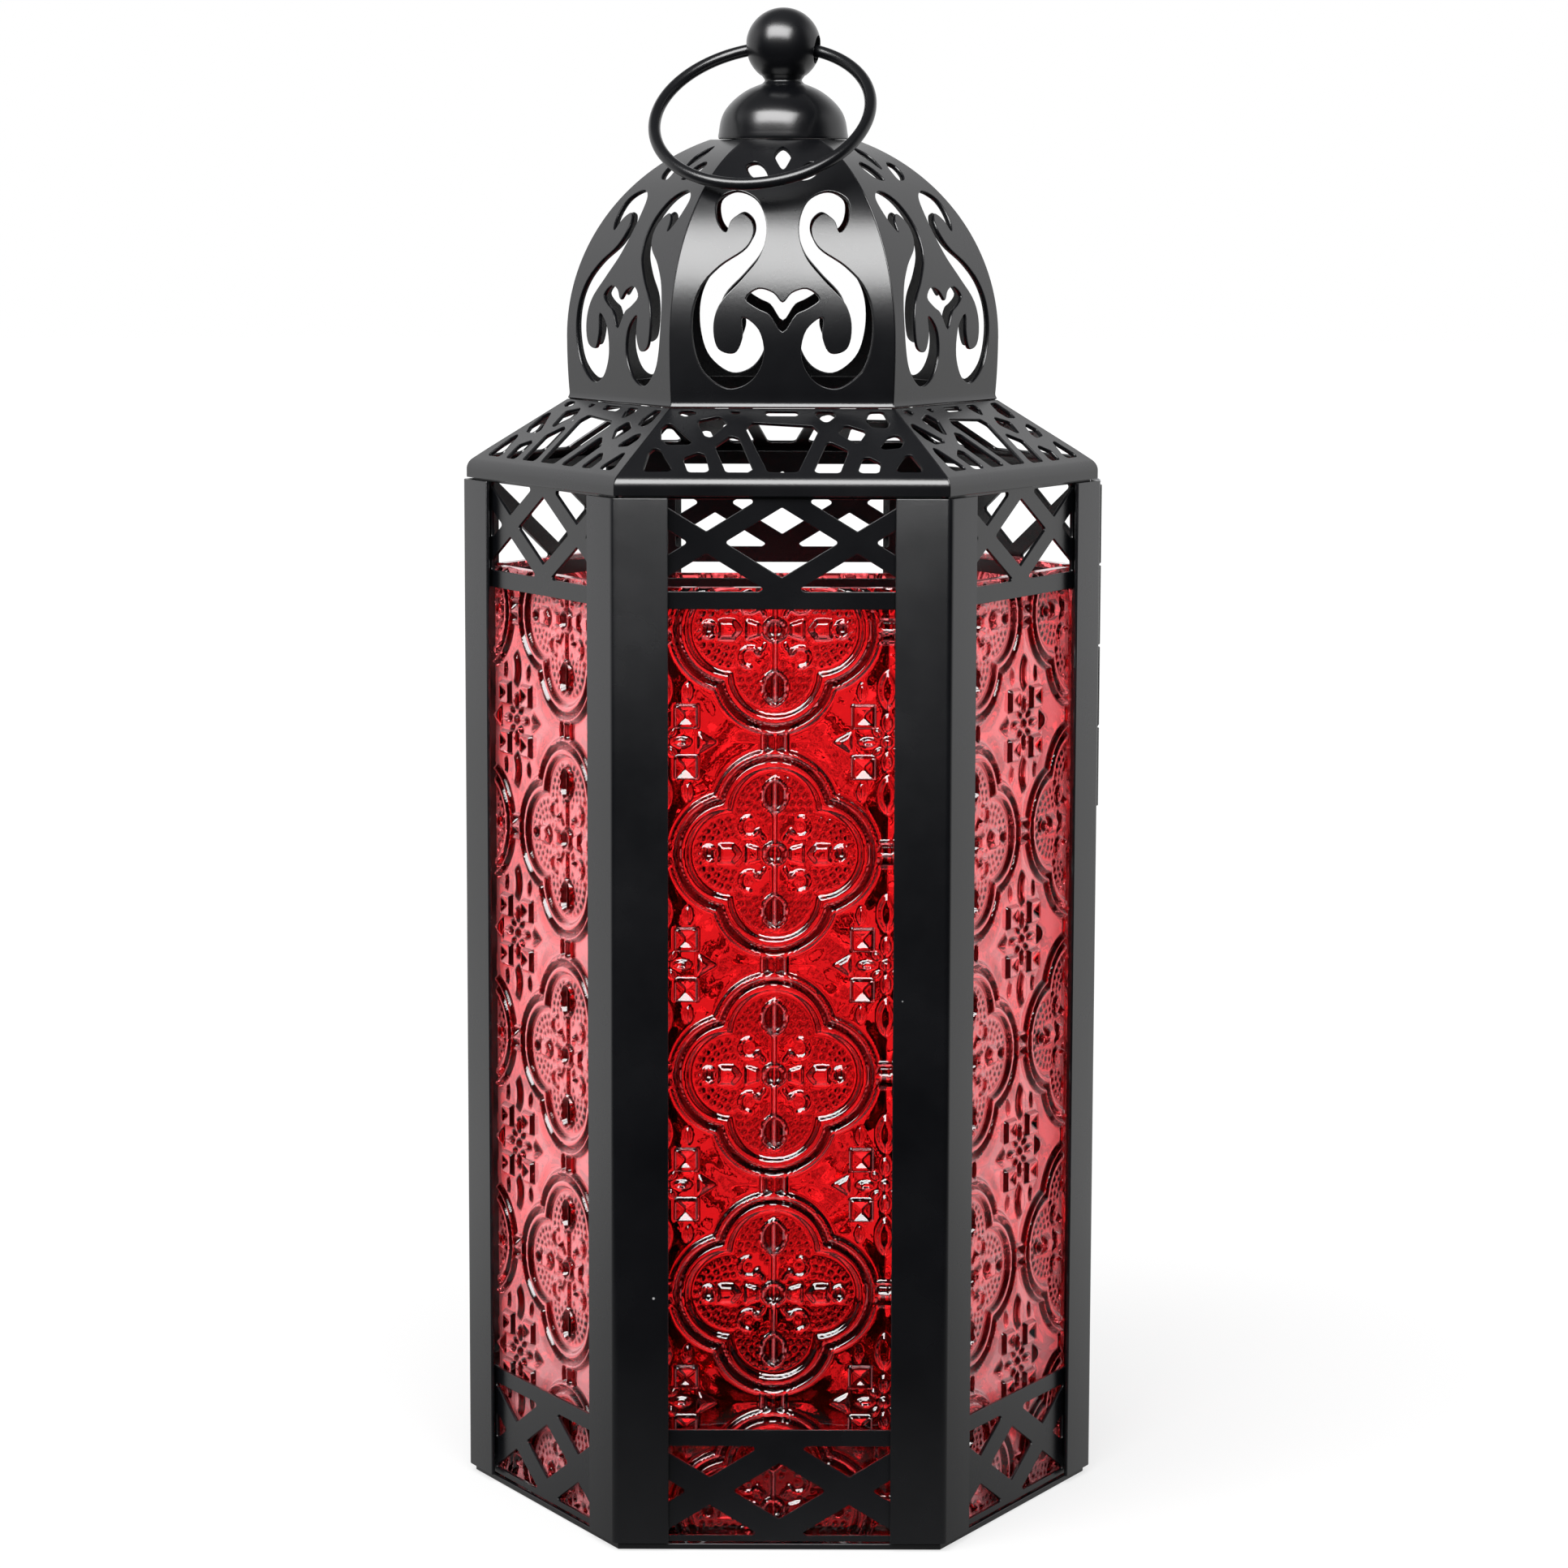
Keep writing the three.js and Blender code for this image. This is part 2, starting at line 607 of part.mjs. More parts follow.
makeBase();
makePosts();
makeWalls();
makeDoor();
makeHinge();
makeLatch();
makeRoof();
makeDome();
makeCap();
makeFinial();
makeRing();

export default root;
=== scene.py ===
import math

import bmesh
import bpy
import numpy as np
from mathutils import Matrix, Vector
from mathutils.geometry import tessellate_polygon


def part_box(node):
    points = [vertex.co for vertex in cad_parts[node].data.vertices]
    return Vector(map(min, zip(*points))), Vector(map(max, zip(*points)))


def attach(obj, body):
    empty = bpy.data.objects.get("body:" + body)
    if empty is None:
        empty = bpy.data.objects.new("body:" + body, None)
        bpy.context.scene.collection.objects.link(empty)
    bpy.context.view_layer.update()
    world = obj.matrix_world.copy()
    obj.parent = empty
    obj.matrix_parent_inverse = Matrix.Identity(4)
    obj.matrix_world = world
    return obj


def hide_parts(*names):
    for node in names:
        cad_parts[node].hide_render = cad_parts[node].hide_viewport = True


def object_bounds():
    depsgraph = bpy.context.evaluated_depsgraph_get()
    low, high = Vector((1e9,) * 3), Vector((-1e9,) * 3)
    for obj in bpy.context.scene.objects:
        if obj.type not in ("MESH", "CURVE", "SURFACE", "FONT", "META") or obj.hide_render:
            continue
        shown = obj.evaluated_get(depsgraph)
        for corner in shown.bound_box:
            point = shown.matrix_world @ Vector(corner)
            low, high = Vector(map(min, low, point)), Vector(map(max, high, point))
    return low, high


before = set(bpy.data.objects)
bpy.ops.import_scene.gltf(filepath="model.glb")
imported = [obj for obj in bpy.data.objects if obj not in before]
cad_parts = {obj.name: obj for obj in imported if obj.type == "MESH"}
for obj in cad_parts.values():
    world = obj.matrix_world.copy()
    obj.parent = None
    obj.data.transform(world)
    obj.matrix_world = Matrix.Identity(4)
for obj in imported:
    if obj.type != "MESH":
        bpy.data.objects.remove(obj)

cad_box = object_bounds()

MM = 0.001
COS30 = math.cos(math.pi / 6)
TAN30 = math.tan(math.pi / 6)
FACES = {
    "front": -90, "front_right": -30, "back_right": 30,
    "back": 90, "back_left": 150, "front_left": 210,
}
DOOR_FACE = "back_right"
CORNERS = {
    "right": 0, "back_right": 60, "back_left": 120,
    "left": 180, "front_left": 240, "front_right": 300,
}

# Sizes in millimetres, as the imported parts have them.
SHEET = 0.7
POST_OUTER = -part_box("post_front_left")[0].y / MM
CORNER_RADIUS = POST_OUTER / COS30
PLATE_INNER = -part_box("lattice_upper_front")[1].y / MM
WALL_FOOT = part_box("post_front_left")[0].z / MM
POST_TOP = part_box("post_front_left")[1].z / MM
PANE_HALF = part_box("pane_front")[1].x / MM
PANE_OUTER = -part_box("pane_front")[0].y / MM
PANE_INNER = -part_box("pane_front")[1].y / MM
PANE_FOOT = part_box("pane_front")[0].z / MM
DOOR_PANE_SHIFT = 1.2
HINGE_U = -24.3
HINGE_A = POST_OUTER + 1.5

# A corner flatter than this is left alone by fillet, and an arc takes at most this share of a side.
NEARLY_STRAIGHT = math.radians(172)
SIDE_SHARE = 0.45
# How far the softened edge of a plain sheet reaches in, and that of a pressed one.
SHEET_EDGE = 0.12
PRESSED_EDGE = 0.2


# ---------------------------------------------------------------- outlines

def fillet(points, radius, steps=5):
    """Rounds each corner of a closed polygon with an arc."""
    out = []
    count = len(points)
    for i in range(count):
        p = Vector(points[i])
        a = Vector(points[i - 1]) - p
        b = Vector(points[(i + 1) % count]) - p
        la, lb = a.length, b.length
        a.normalize()
        b.normalize()
        angle = a.angle(b)
        if angle > NEARLY_STRAIGHT:
            out.append(tuple(p))
            continue
        reach = min(radius / math.tan(angle / 2), SIDE_SHARE * la, SIDE_SHARE * lb)
        r = reach * math.tan(angle / 2)
        centre = p + (a + b).normalized() * (r / math.sin(angle / 2))
        start = p + a * reach - centre
        end = p + b * reach - centre
        a0 = math.atan2(start.y, start.x)
        turn = math.atan2(end.y, end.x) - a0
        while turn > math.pi:
            turn -= 2 * math.pi
        while turn < -math.pi:
            turn += 2 * math.pi
        for k in range(steps + 1):
            t = a0 + turn * k / steps
            out.append((centre.x + r * math.cos(t), centre.y + r * math.sin(t)))
    return out


def spline(points, steps=5):
    """A closed smooth curve through the points."""
    out = []
    pts = [np.array(p, float) for p in points]
    count = len(pts)
    for i in range(count):
        p0, p1, p2, p3 = (pts[(i + k - 1) % count] for k in range(4))
        pairs = ((p0, p1), (p1, p2), (p2, p3))
        d01, d12, d23 = (math.sqrt(np.linalg.norm(q - p)) for p, q in pairs)
        m1 = (p1 - p0) / d01 - (p2 - p0) / (d01 + d12) + (p2 - p1) / d12
        m2 = (p2 - p1) / d12 - (p3 - p1) / (d12 + d23) + (p3 - p2) / d23
        m1, m2 = m1 * d12, m2 * d12
        for k in range(steps):
            t = k / steps
            h = (2 * t**3 - 3 * t**2 + 1, t**3 - 2 * t**2 + t, -2 * t**3 + 3 * t**2, t**3 - t**2)
            out.append(tuple(h[0] * p1 + h[1] * m1 + h[2] * p2 + h[3] * m2))
    return out


def area(points):
    """Area of a closed outline, positive when it runs anticlockwise."""
    x = np.array(points)
    y = np.roll(x, -1, axis=0)
    return 0.5 * float((x[:, 0] * y[:, 1] - y[:, 0] * x[:, 1]).sum())


def turned_to(points, positive):
    """The outline, run anticlockwise if positive, else clockwise."""
    return list(points) if (area(points) > 0) == positive else list(reversed(points))


def inset(points, by):
    """Moves a closed outline to its left by a distance."""
    p = np.array(points, float)
    e = np.roll(p, -1, axis=0) - p
    e /= np.linalg.norm(e, axis=1, keepdims=True)
    n = np.stack([-e[:, 1], e[:, 0]], 1)
    before = np.roll(n, 1, axis=0)
    dot = np.clip((n * before).sum(1, keepdims=True), -0.5, 1)
    return p + by * (n + before) / (1 + dot)


# ---------------------------------------------------------------- meshes, in millimetres

def flat_sheet(outline, holes, thick, edge=SHEET_EDGE):
    """A flat sheet with softened edges: (vertices, faces), z from 0 at the back to thick."""
    loops = [turned_to(outline, True)] + [turned_to(h, False) for h in holes]
    chamfer = edge * 0.3
    rings = [(edge, 0.0), (chamfer, chamfer), (0.0, edge), (0.0, thick - edge),
             (chamfer, thick - chamfer), (edge, thick)]
    verts, faces, caps = [], [], {0: [], len(rings) - 1: []}
    for loop in loops:
        n = len(loop)
        first = len(verts)
        for k, (by, z) in enumerate(rings):
            moved = inset(loop, by) if by else np.array(loop, float)
            if k in caps:
                caps[k].append((len(verts), [Vector((x, y, 0)) for x, y in moved]))
            verts += [(x, y, z) for x, y in moved]
        for k in range(len(rings) - 1):
            for i in range(n):
                j = (i + 1) % n
                a, b = first + k * n, first + (k + 1) * n
                faces.append((a + i, a + j, b + j, b + i))
    for k, parts in caps.items():
        index = [base + i for base, pts in parts for i in range(len(pts))]
        for tri in tessellate_polygon([pts for _, pts in parts]):
            a, b, c = (index[i] for i in tri)
            va, vb, vc = (np.array(verts[i][:2]) for i in (a, b, c))
            up = np.cross(vb - va, vc - va) > 0
            faces.append((a, b, c) if up == (k > 0) else (a, c, b))
    return np.array(verts, float), faces


def sliced(sheet, cuts):
    """Cuts a flat sheet along lines of constant y."""
    verts, faces = sheet
    bm = bmesh.new()
    made = [bm.verts.new(v) for v in verts]
    for f in faces:
        bm.faces.new([made[i] for i in f])
    for y in cuts:
        geom = bm.verts[:] + bm.edges[:] + bm.faces[:]
        bmesh.ops.bisect_plane(bm, geom=geom, dist=1e-5, plane_co=(0, y, 0), plane_no=(0, 1, 0))
    bm.verts.ensure_lookup_table()
    bm.verts.index_update()
    out = np.array([v.co for v in bm.verts], float)
    polys = [tuple(v.index for v in f.verts) for f in bm.faces]
    bm.free()
    return out, polys


def corner_normals(verts, faces, thick):
    """A normal for each face corner of a flat sheet: true on its flat sides, rounded over its edges."""
    near, same_bend = 1e-4, 0.77
    side = np.where(verts[:, 2] < near, -1, np.where(verts[:, 2] > thick - near, 1, 0))
    own, around = [], {}
    for f in faces:
        pts = verts[list(f)]
        nxt = np.roll(pts, -1, axis=0)
        n = np.cross(pts, nxt).sum(0)
        n = n / (np.linalg.norm(n) + 1e-12)
        flat = abs(int(side[list(f)].sum())) == len(f)
        own.append((n, flat))
        if not flat:
            for i in f:
                around.setdefault(i, []).append(n)
    out = []
    for f, (n, flat) in zip(faces, own):
        for i in f:
            if flat or side[i]:
                out.append((0.0, 0.0, float(side[i])))
                continue
            total = sum(m for m in around[i] if float(m @ n) > same_bend)
            out.append(tuple(total / np.linalg.norm(total)))
    return np.array(out)


class Profile:
    """A bent section: points (a, z) of the outer surface, its arc length, and its outward normal."""

    def __init__(self, points):
        self.p = np.array(points, float)
        step = np.linalg.norm(np.diff(self.p, axis=0), axis=1)
        self.s = np.concatenate([[0], np.cumsum(step)])
        t = np.gradient(self.p, self.s, axis=0)
        t /= np.linalg.norm(t, axis=1, keepdims=True)
        self.n = np.stack([t[:, 1], -t[:, 0]], 1)
        self.length = float(self.s[-1])

    def at(self, s):
        a, z = (np.interp(s, self.s, self.p[:, k]) for k in (0, 1))
        na, nz = (np.interp(s, self.s, self.n[:, k]) for k in (0, 1))
        size = np.hypot(na, nz)
        return a, z, na / size, nz / size

    def s_of_z(self, z):
        return float(np.interp(z, self.p[:, 1], self.s))


def shaped(sheet, thick, place, axes):
    """Puts a flat sheet in space: (vertices, faces, corner normals).

    place is where each point goes, and axes gives each point's three directions there.
    """
    verts, faces = sheet
    flat = corner_normals(verts, faces, thick)
    index = np.array([i for f in faces for i in f])
    across, along, out = (np.broadcast_to(d, verts.shape)[index] for d in axes)
    normals = flat[:, :1] * across + flat[:, 1:2] * along + flat[:, 2:] * out
    return place, faces, normals


def bent_over(profile, sheet, thick):
    """Lays a sheet drawn in (u, s) over a section on the front wall, mitred at its sides."""
    verts = sheet[0]
    a, z, na, nz = profile.at(verts[:, 1])
    deep = thick - verts[:, 2]
    a_in, z_in = a - na * deep, z - nz * deep
    zero = np.zeros_like(a)
    place = np.stack([verts[:, 0] * a_in / a, -a_in, z_in], 1)
    axes = (np.array([1.0, 0, 0]), np.stack([zero, nz, na], 1), np.stack([zero, -na, nz], 1))
    return shaped(sheet, thick, place, axes)


def on_front(sheet, inner, thick):
    """Stands a sheet drawn in (u, z) up on the front wall, its back at a distance from the axis."""
    verts = sheet[0]
    place = np.stack([verts[:, 0], -(inner + verts[:, 2]), verts[:, 1]], 1)
    return shaped(sheet, thick, place, np.array([[1.0, 0, 0], [0, 0, 1], [0, -1, 0]]))


def turned(verts, degrees):
    """The points, turned about the vertical axis."""
    c, s = math.cos(math.radians(degrees)), math.sin(math.radians(degrees))
    x, y, z = verts.T
    return np.stack([x * c - y * s, x * s + y * c, z], 1)


def outwards(verts, faces):
    """The faces, turned round if the closed mesh is inside out."""
    volume = 0.0
    for f in faces:
        p0 = verts[f[0]]
        for i in range(1, len(f) - 1):
            volume += float(np.dot(p0, np.cross(verts[f[i]], verts[f[i + 1]])))
    return faces if volume > 0 else [tuple(reversed(f)) for f in faces]


def lathed(profile, segments, x=0.0, y=0.0):
    """Turns a closed (r, z) loop about a vertical axis; points at r 0 are poles."""
    verts, faces, rings = [], [], []
    for r, z in profile:
        if r < 1e-6:
            rings.append([len(verts)] * segments)
            verts.append((x, y, z))
        else:
            rings.append(list(range(len(verts), len(verts) + segments)))
            for i in range(segments):
                t = 2 * math.pi * i / segments
                verts.append((x + r * math.cos(t), y + r * math.sin(t), z))
    count = len(profile)
    on_axis = profile[0][0] < 1e-6 and profile[-1][0] < 1e-6
    for k in range(count - 1 if on_axis else count):
        a, b = rings[k], rings[(k + 1) % count]
        for i in range(segments):
            j = (i + 1) % segments
            face = []
            for v in (a[i], a[j], b[j], b[i]):
                if v not in face:
                    face.append(v)
            if len(face) > 2:
                faces.append(tuple(face))
    verts = np.array(verts, float)
    return verts, outwards(verts, faces)


def torus(radius, wire, around=144, section=20):
    """A ring of round wire that stands in the plane y = 0."""
    verts, faces = [], []
    for i in range(around):
        t = 2 * math.pi * i / around
        for k in range(section):
            q = 2 * math.pi * k / section
            r = radius + wire * math.cos(q)
            verts.append((r * math.sin(t), wire * math.sin(q), r * math.cos(t)))
    for i in range(around):
        for k in range(section):
            a, b = i * section, ((i + 1) % around) * section
            j = (k + 1) % section
            faces.append((a + k, a + j, b + j, b + k))
    verts = np.array(verts, float)
    return verts, outwards(verts, faces)


def add_mesh(name, shape, turn, material, body, nodes, angle=32):
    """Makes a piece from (vertices, faces[, corner normals]), turned about the axis."""
    verts, faces = shape[:2]
    me = bpy.data.meshes.new(name)
    me.from_pydata((turned(verts, turn) * MM).tolist(), [], faces)
    me.update()
    me.shade_smooth()
    if len(shape) == 3:
        me.normals_split_custom_set(turned(shape[2], turn).tolist())
    else:
        me.set_sharp_from_angle(angle=math.radians(angle))
    me.materials.append(material)
    piece = bpy.data.objects.new(name, me)
    bpy.context.scene.collection.objects.link(piece)
    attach(piece, body)
    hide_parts(*nodes)
    return piece


# ---------------------------------------------------------------- materials

class Nodes:
    """A short way to write a node tree."""

    def __init__(self, tree):
        self.tree = tree
        tree.nodes.clear()

    def add(self, kind, values=None, **settings):
        node = self.tree.nodes.new(kind)
        for key, value in settings.items():
            setattr(node, key, value)
        for key, value in (values or {}).items():
            if isinstance(value, bpy.types.NodeSocket):
                self.tree.links.new(value, node.inputs[key])
            else:
                node.inputs[key].default_value = value
        return node

    def noise(self, vector, scale, detail=3.0, roughness=0.55):
        values = {"Vector": vector, "Scale": scale, "Detail": detail, "Roughness": roughness}
        return self.add("ShaderNodeTexNoise", values).outputs["Fac"]

    def spread(self, value, low, high, to_low=0.0, to_high=1.0, smooth=False):
        values = {"Value": value, "From Min": low, "From Max": high, "To Min": to_low, "To Max": to_high}
        kind = "SMOOTHSTEP" if smooth else "LINEAR"
        return self.add("ShaderNodeMapRange", values, interpolation_type=kind).outputs["Result"]

    def mix(self, factor, a, b):
        # a Mix node's colour sockets: 0 the factor, 6 and 7 the colours, and output 2
        return self.add("ShaderNodeMix", {0: factor, 6: a, 7: b}, data_type="RGBA").outputs[2]

    def math(self, operation, a, b=0.0, c=0.0):
        return self.add("ShaderNodeMath", {0: a, 1: b, 2: c}, operation=operation).outputs[0]


def material(name):
    made = bpy.data.materials.new(name)
    made.use_nodes = True
    return made, Nodes(made.node_tree)


def black_paint():
    """Satin black powder coat: faint orange peel, cloudy gloss, a few pale specks of dust."""
    made, t = material("satin_black_paint")
    where = t.add("ShaderNodeTexCoord").outputs["Object"]
    cloud = t.noise(where, 45, 4)
    peel = t.noise(where, 1500, 2)
    grain = t.noise(where, 6000, 2)
    colour = t.mix(t.spread(cloud, 0.3, 0.7), (0.0009, 0.001, 0.0014, 1), (0.0019, 0.002, 0.0026, 1))
    speck = t.add("ShaderNodeTexVoronoi", {"Vector": where, "Scale": 210.0}, feature="F1")
    near = t.spread(speck.outputs["Distance"], 0.055, 0.035)
    few = t.math("GREATER_THAN", t.noise(where, 90, 1), 0.66)
    dust = t.math("MULTIPLY", near, few)
    colour = t.mix(dust, colour, (0.16, 0.16, 0.16, 1))
    rough = t.spread(cloud, 0.3, 0.7, 0.23, 0.29)
    rough = t.math("ADD", rough, t.math("MULTIPLY", dust, 0.3))
    height = t.math("ADD", t.math("MULTIPLY", peel, 0.6), t.math("MULTIPLY", grain, 0.25))
    bump = t.add("ShaderNodeBump", {"Strength": 0.11, "Distance": 0.0001, "Height": height})
    paint = t.add("ShaderNodeBsdfPrincipled", {
        "Base Color": colour, "Roughness": rough, "IOR": 1.5, "Normal": bump.outputs["Normal"],
    })
    t.add("ShaderNodeOutputMaterial", {"Surface": paint.outputs[0]})
    return made


def red_glass():
    """Red glass: cloudy, with fine pressing marks, with painted shade making it near black where its
    relief is steep or deep, and a painted reflection making it paler seen aslant.
    """
    made, t = material("red_pressed_glass")
    where = t.add("ShaderNodeTexCoord").outputs["Object"]
    cloud = t.noise(where, 60, 3)
    colour = t.mix(t.spread(cloud, 0.3, 0.7), (0.99, 0.1, 0.115, 1), (1.0, 0.12, 0.135, 1))
    # painted shade: near black where the relief is steep or deep, standing in for the dark surroundings
    # that the relief refracts
    stored = t.add("ShaderNodeAttribute", attribute_name=PAINTED_RELIEF_SHADE).outputs["Fac"]
    steep = t.spread(stored, 0.36, 1.2, 0.0, 0.975, smooth=True)
    # seen aslant, the glass gets a painted reflection that makes it paler, and its painted shade is
    # weaker
    facing = t.add("ShaderNodeLayerWeight", {"Blend": 0.5}).outputs["Facing"]
    aslant = t.spread(facing, 0.35, 0.55)
    colour = t.mix(t.math("MULTIPLY", aslant, 0.75), colour, (1.0, 0.45, 0.48, 1))
    steep = t.math("MULTIPLY", steep, t.math("MULTIPLY_ADD", aslant, -0.5, 1.0))
    colour = t.mix(steep, colour, (0.012, 0.0006, 0.0008, 1))
    marks = t.noise(where, 700, 2)
    bump = t.add("ShaderNodeBump", {"Strength": 0.06, "Distance": 0.0002, "Height": marks})
    glass = t.add("ShaderNodeBsdfPrincipled", {
        "Base Color": colour, "Roughness": t.spread(cloud, 0.3, 0.7, 0.0, 0.02), "IOR": 1.54,
        # less transmission aslant, so that the pale pink of the painted reflection shows
        "Transmission Weight": t.math("MULTIPLY_ADD", aslant, -0.3, 1.0),
        "Normal": bump.outputs["Normal"],
    })
    t.add("ShaderNodeOutputMaterial", {"Surface": glass.outputs[0]})
    return made


def plated_steel():
    """Plain plated steel with fine drawing marks along the pin."""
    made, t = material("plated_steel")
    where = t.add("ShaderNodeTexCoord").outputs["Object"]
    stretched = t.add("ShaderNodeMapping", {"Vector": where, "Scale": (1.0, 1.0, 0.08)})
    marks = t.noise(stretched.outputs[0], 2600, 3)
    stain = t.noise(where, 160, 3)
    colour = t.mix(t.spread(stain, 0.35, 0.7), (0.58, 0.59, 0.61, 1), (0.42, 0.43, 0.44, 1))
    bump = t.add("ShaderNodeBump", {"Strength": 0.15, "Distance": 0.0001, "Height": marks})
    steel = t.add("ShaderNodeBsdfPrincipled", {
        "Base Color": colour, "Metallic": 1.0, "Roughness": t.spread(marks, 0.2, 0.8, 0.25, 0.42),
        "Normal": bump.outputs["Normal"],
    })
    t.add("ShaderNodeOutputMaterial", {"Surface": steel.outputs[0]})
    return made


# the name under which each point of a pane keeps how much painted shade its relief gets
PAINTED_RELIEF_SHADE = "painted_relief_shade"
BLACK = black_paint()
GLASS = red_glass()
STEEL = plated_steel()


# ---------------------------------------------------------------- trellis bands

LATTICE_HALF = 20.2
CELL_ROUNDING = 0.4
SMALLEST_CELL = 1.5
LOWER = {"foot": 2.4, "top": 18.3, "node_u": 12.1, "node_z": 10.3, "bar": 4.2, "tilt": 31.7}
UPPER = {"foot": 166.7, "top": 182.3, "node_u": 12.75, "node_z": 175.0, "bar": 3.2, "tilt": 31.5}
WINDOW = (21.2, 163.7)


def rectangle(x0, x1, y0, y1):
    return [(x0, y0), (x1, y0), (x1, y1), (x0, y1)]


def clipped(polygon, nx, ny, limit):
    """The part of a polygon where nx x + ny y >= limit."""
    out = []
    for i, p in enumerate(polygon):
        q = polygon[(i + 1) % len(polygon)]
        dp, dq = nx * p[0] + ny * p[1] - limit, nx * q[0] + ny * q[1] - limit
        if dp >= 0:
            out.append(p)
        if dp * dq < 0:
            k = dp / (dp - dq)
            out.append((p[0] + k * (q[0] - p[0]), p[1] + k * (q[1] - p[1])))
    return out


def trellis_holes(band, top=None):
    """The cells that crossed bars leave open inside a rectangle."""
    top = top or band["top"]
    h = LATTICE_HALF
    tilt = math.radians(band["tilt"])
    bars = [(side * band["node_u"], lean) for side in (-1, 1) for lean in (-1, 1)]
    holes = []
    # each cell lies on one side or the other of each of the bars
    for signs in range(1 << len(bars)):
        cell = rectangle(-h, h, band["foot"], top)
        for k, (u, lean) in enumerate(bars):
            way = 1 if signs >> k & 1 else -1
            nx, ny = -way * lean * math.sin(tilt), way * math.cos(tilt)
            cell = clipped(cell, nx, ny, nx * u + ny * band["node_z"] + band["bar"] / 2)
            if len(cell) < 3:
                break
        if len(cell) > 2 and abs(area(cell)) > SMALLEST_CELL:
            holes.append(fillet(cell, CELL_ROUNDING, 4))
    return holes


def make_trellis():
    for band, key in ((LOWER, "lower"), (UPPER, "upper")):
        low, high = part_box(f"lattice_{key}_front")
        half = high.x / MM
        outline = fillet(rectangle(-half, half, low.z / MM, high.z / MM), CELL_ROUNDING, 3)
        shape = on_front(flat_sheet(outline, trellis_holes(band), SHEET, 0.13), PLATE_INNER, SHEET)
        for face, normal in FACES.items():
            if face != DOOR_FACE:
                add_mesh(f"trellis_{key}_{face}", shape, normal + 90, BLACK, "lantern",
                         [f"lattice_{key}_{face}"])


# ---------------------------------------------------------------- posts

POST_LEG = 9.4
DOOR_SIDE_LEG = 2.6
POST_BEND = 1.6
POST_SOFT = 0.15
POST_ARC = 12


def post_outline(leg_a, leg_b):
    """The plan of a post at the corner on +X, with its leg ends softened."""
    centre = CORNER_RADIUS - POST_BEND / COS30
    corner = np.array([CORNER_RADIUS, 0.0])

    def leg(length, side):
        w = np.array([-0.5, COS30 * side])
        n = np.array([COS30, 0.5 * side])
        tip = corner + w * length
        back = tip - w * POST_SOFT
        return [tuple(p) for p in
                (back, tip - n * POST_SOFT, tip - n * (SHEET - POST_SOFT), back - n * SHEET)]

    def bend(radius, side):
        angles = [math.radians(side * (60 * k / POST_ARC - 30)) for k in range(POST_ARC + 1)]
        return [(centre + radius * math.cos(t), radius * math.sin(t)) for t in angles]

    a, b = leg(leg_a, -1), leg(leg_b, 1)
    points = [a[1], a[0]] + bend(POST_BEND, 1) + b
    return points + bend(POST_BEND - SHEET, -1) + [a[3], a[2]]


def make_posts():
    for name, corner in CORNERS.items():
        leg_a = DOOR_SIDE_LEG if name == "back_right" else POST_LEG
        leg_b = DOOR_SIDE_LEG if name == "right" else POST_LEG
        high = POST_TOP - WALL_FOOT
        sheet = flat_sheet(post_outline(leg_a, leg_b), [], high)
        shape = shaped(sheet, high, sheet[0] + [0, 0, WALL_FOOT], np.eye(3))
        add_mesh(f"corner_post_{name}", shape, corner, BLACK, "lantern", [f"post_{name}"])


# ---------------------------------------------------------------- pressed glass

# the pattern repeats at this distance both ways; its heights are scaled, then kept within limits
PERIOD = 38.4
RELIEF_DEPTH = 1.1
RELIEF_LOWEST = -0.5
RELIEF_SCALE = 1.55
RELIEF_MARGIN = 0.6
# a medallion's four lobes: their radius, and how far their centres lie from its own
LOBE = 10.8
LOBE_AT = 7.2
# how far inside the outline the bead field starts, its rows' spacing and the beads' spacing
FIELD_IN = 3.9
ROW = 1.3
BEAD_PITCH = 1.4
# a medallion's eye, curls, dimples, links and boss, in its own (x, y)
EYE_Y = 10.0
EYE_HALF = (2.1, 3.0)
CURL_AT = (4.3, 4.7)
DIMPLE_X = 11.3
LINK_AT = (3.6, 2.0)
LINK_RADIUS = 1.9
BOSS_RADIUS = 1.8
# a rosette's cut squares: their centre and half side
SQUARE_AT = (4.1, 4.4)
SQUARE_HALF = 2.0
# the beads' height in the surface, and the height that sets how much painted shade their sides get
BEAD_HIGH = 0.16
BEAD_SHADE = 0.46
# how much a millimetre of depth adds to the glass's painted shade, beside its slope
DEEP_SHADE = 2.2
# where a medallion's centre lies on each pane: (u, z)
PATTERN_AT = {
    "front": (-1.1, 44.9), "front_left": (5.1, 44.5), "front_right": (-13.8, 44.9),
    "back": (-1.5, 46.0), "back_left": (9.0, 41.0), "back_right": (-8.0, 44.0),
}


def bump(t):
    """A smooth hump of height 1, from -1 to 1."""
    return np.where(np.abs(t) < 1, 0.5 + 0.5 * np.cos(np.pi * np.clip(t, -1, 1)), 0.0)


def step(t):
    """A smooth rise from 0 at t = 0 to 1 at t = 1."""
    t = np.clip(t, 0, 1)
    return t * t * (3 - 2 * t)


def lens(x, y, half_width, half_height):
    """Distance inside a pointed oval, positive inside."""
    r = (half_width**2 + half_height**2) / (2 * half_width)
    off = r - half_width
    return np.minimum(r - np.hypot(x + off, y), r - np.hypot(x - off, y))


def lobes(x, y):
    """Distance inside the lobes at the sides, and inside those at the ends."""
    return LOBE - np.hypot(np.abs(x) - LOBE_AT, y), LOBE - np.hypot(x, np.abs(y) - LOBE_AT)


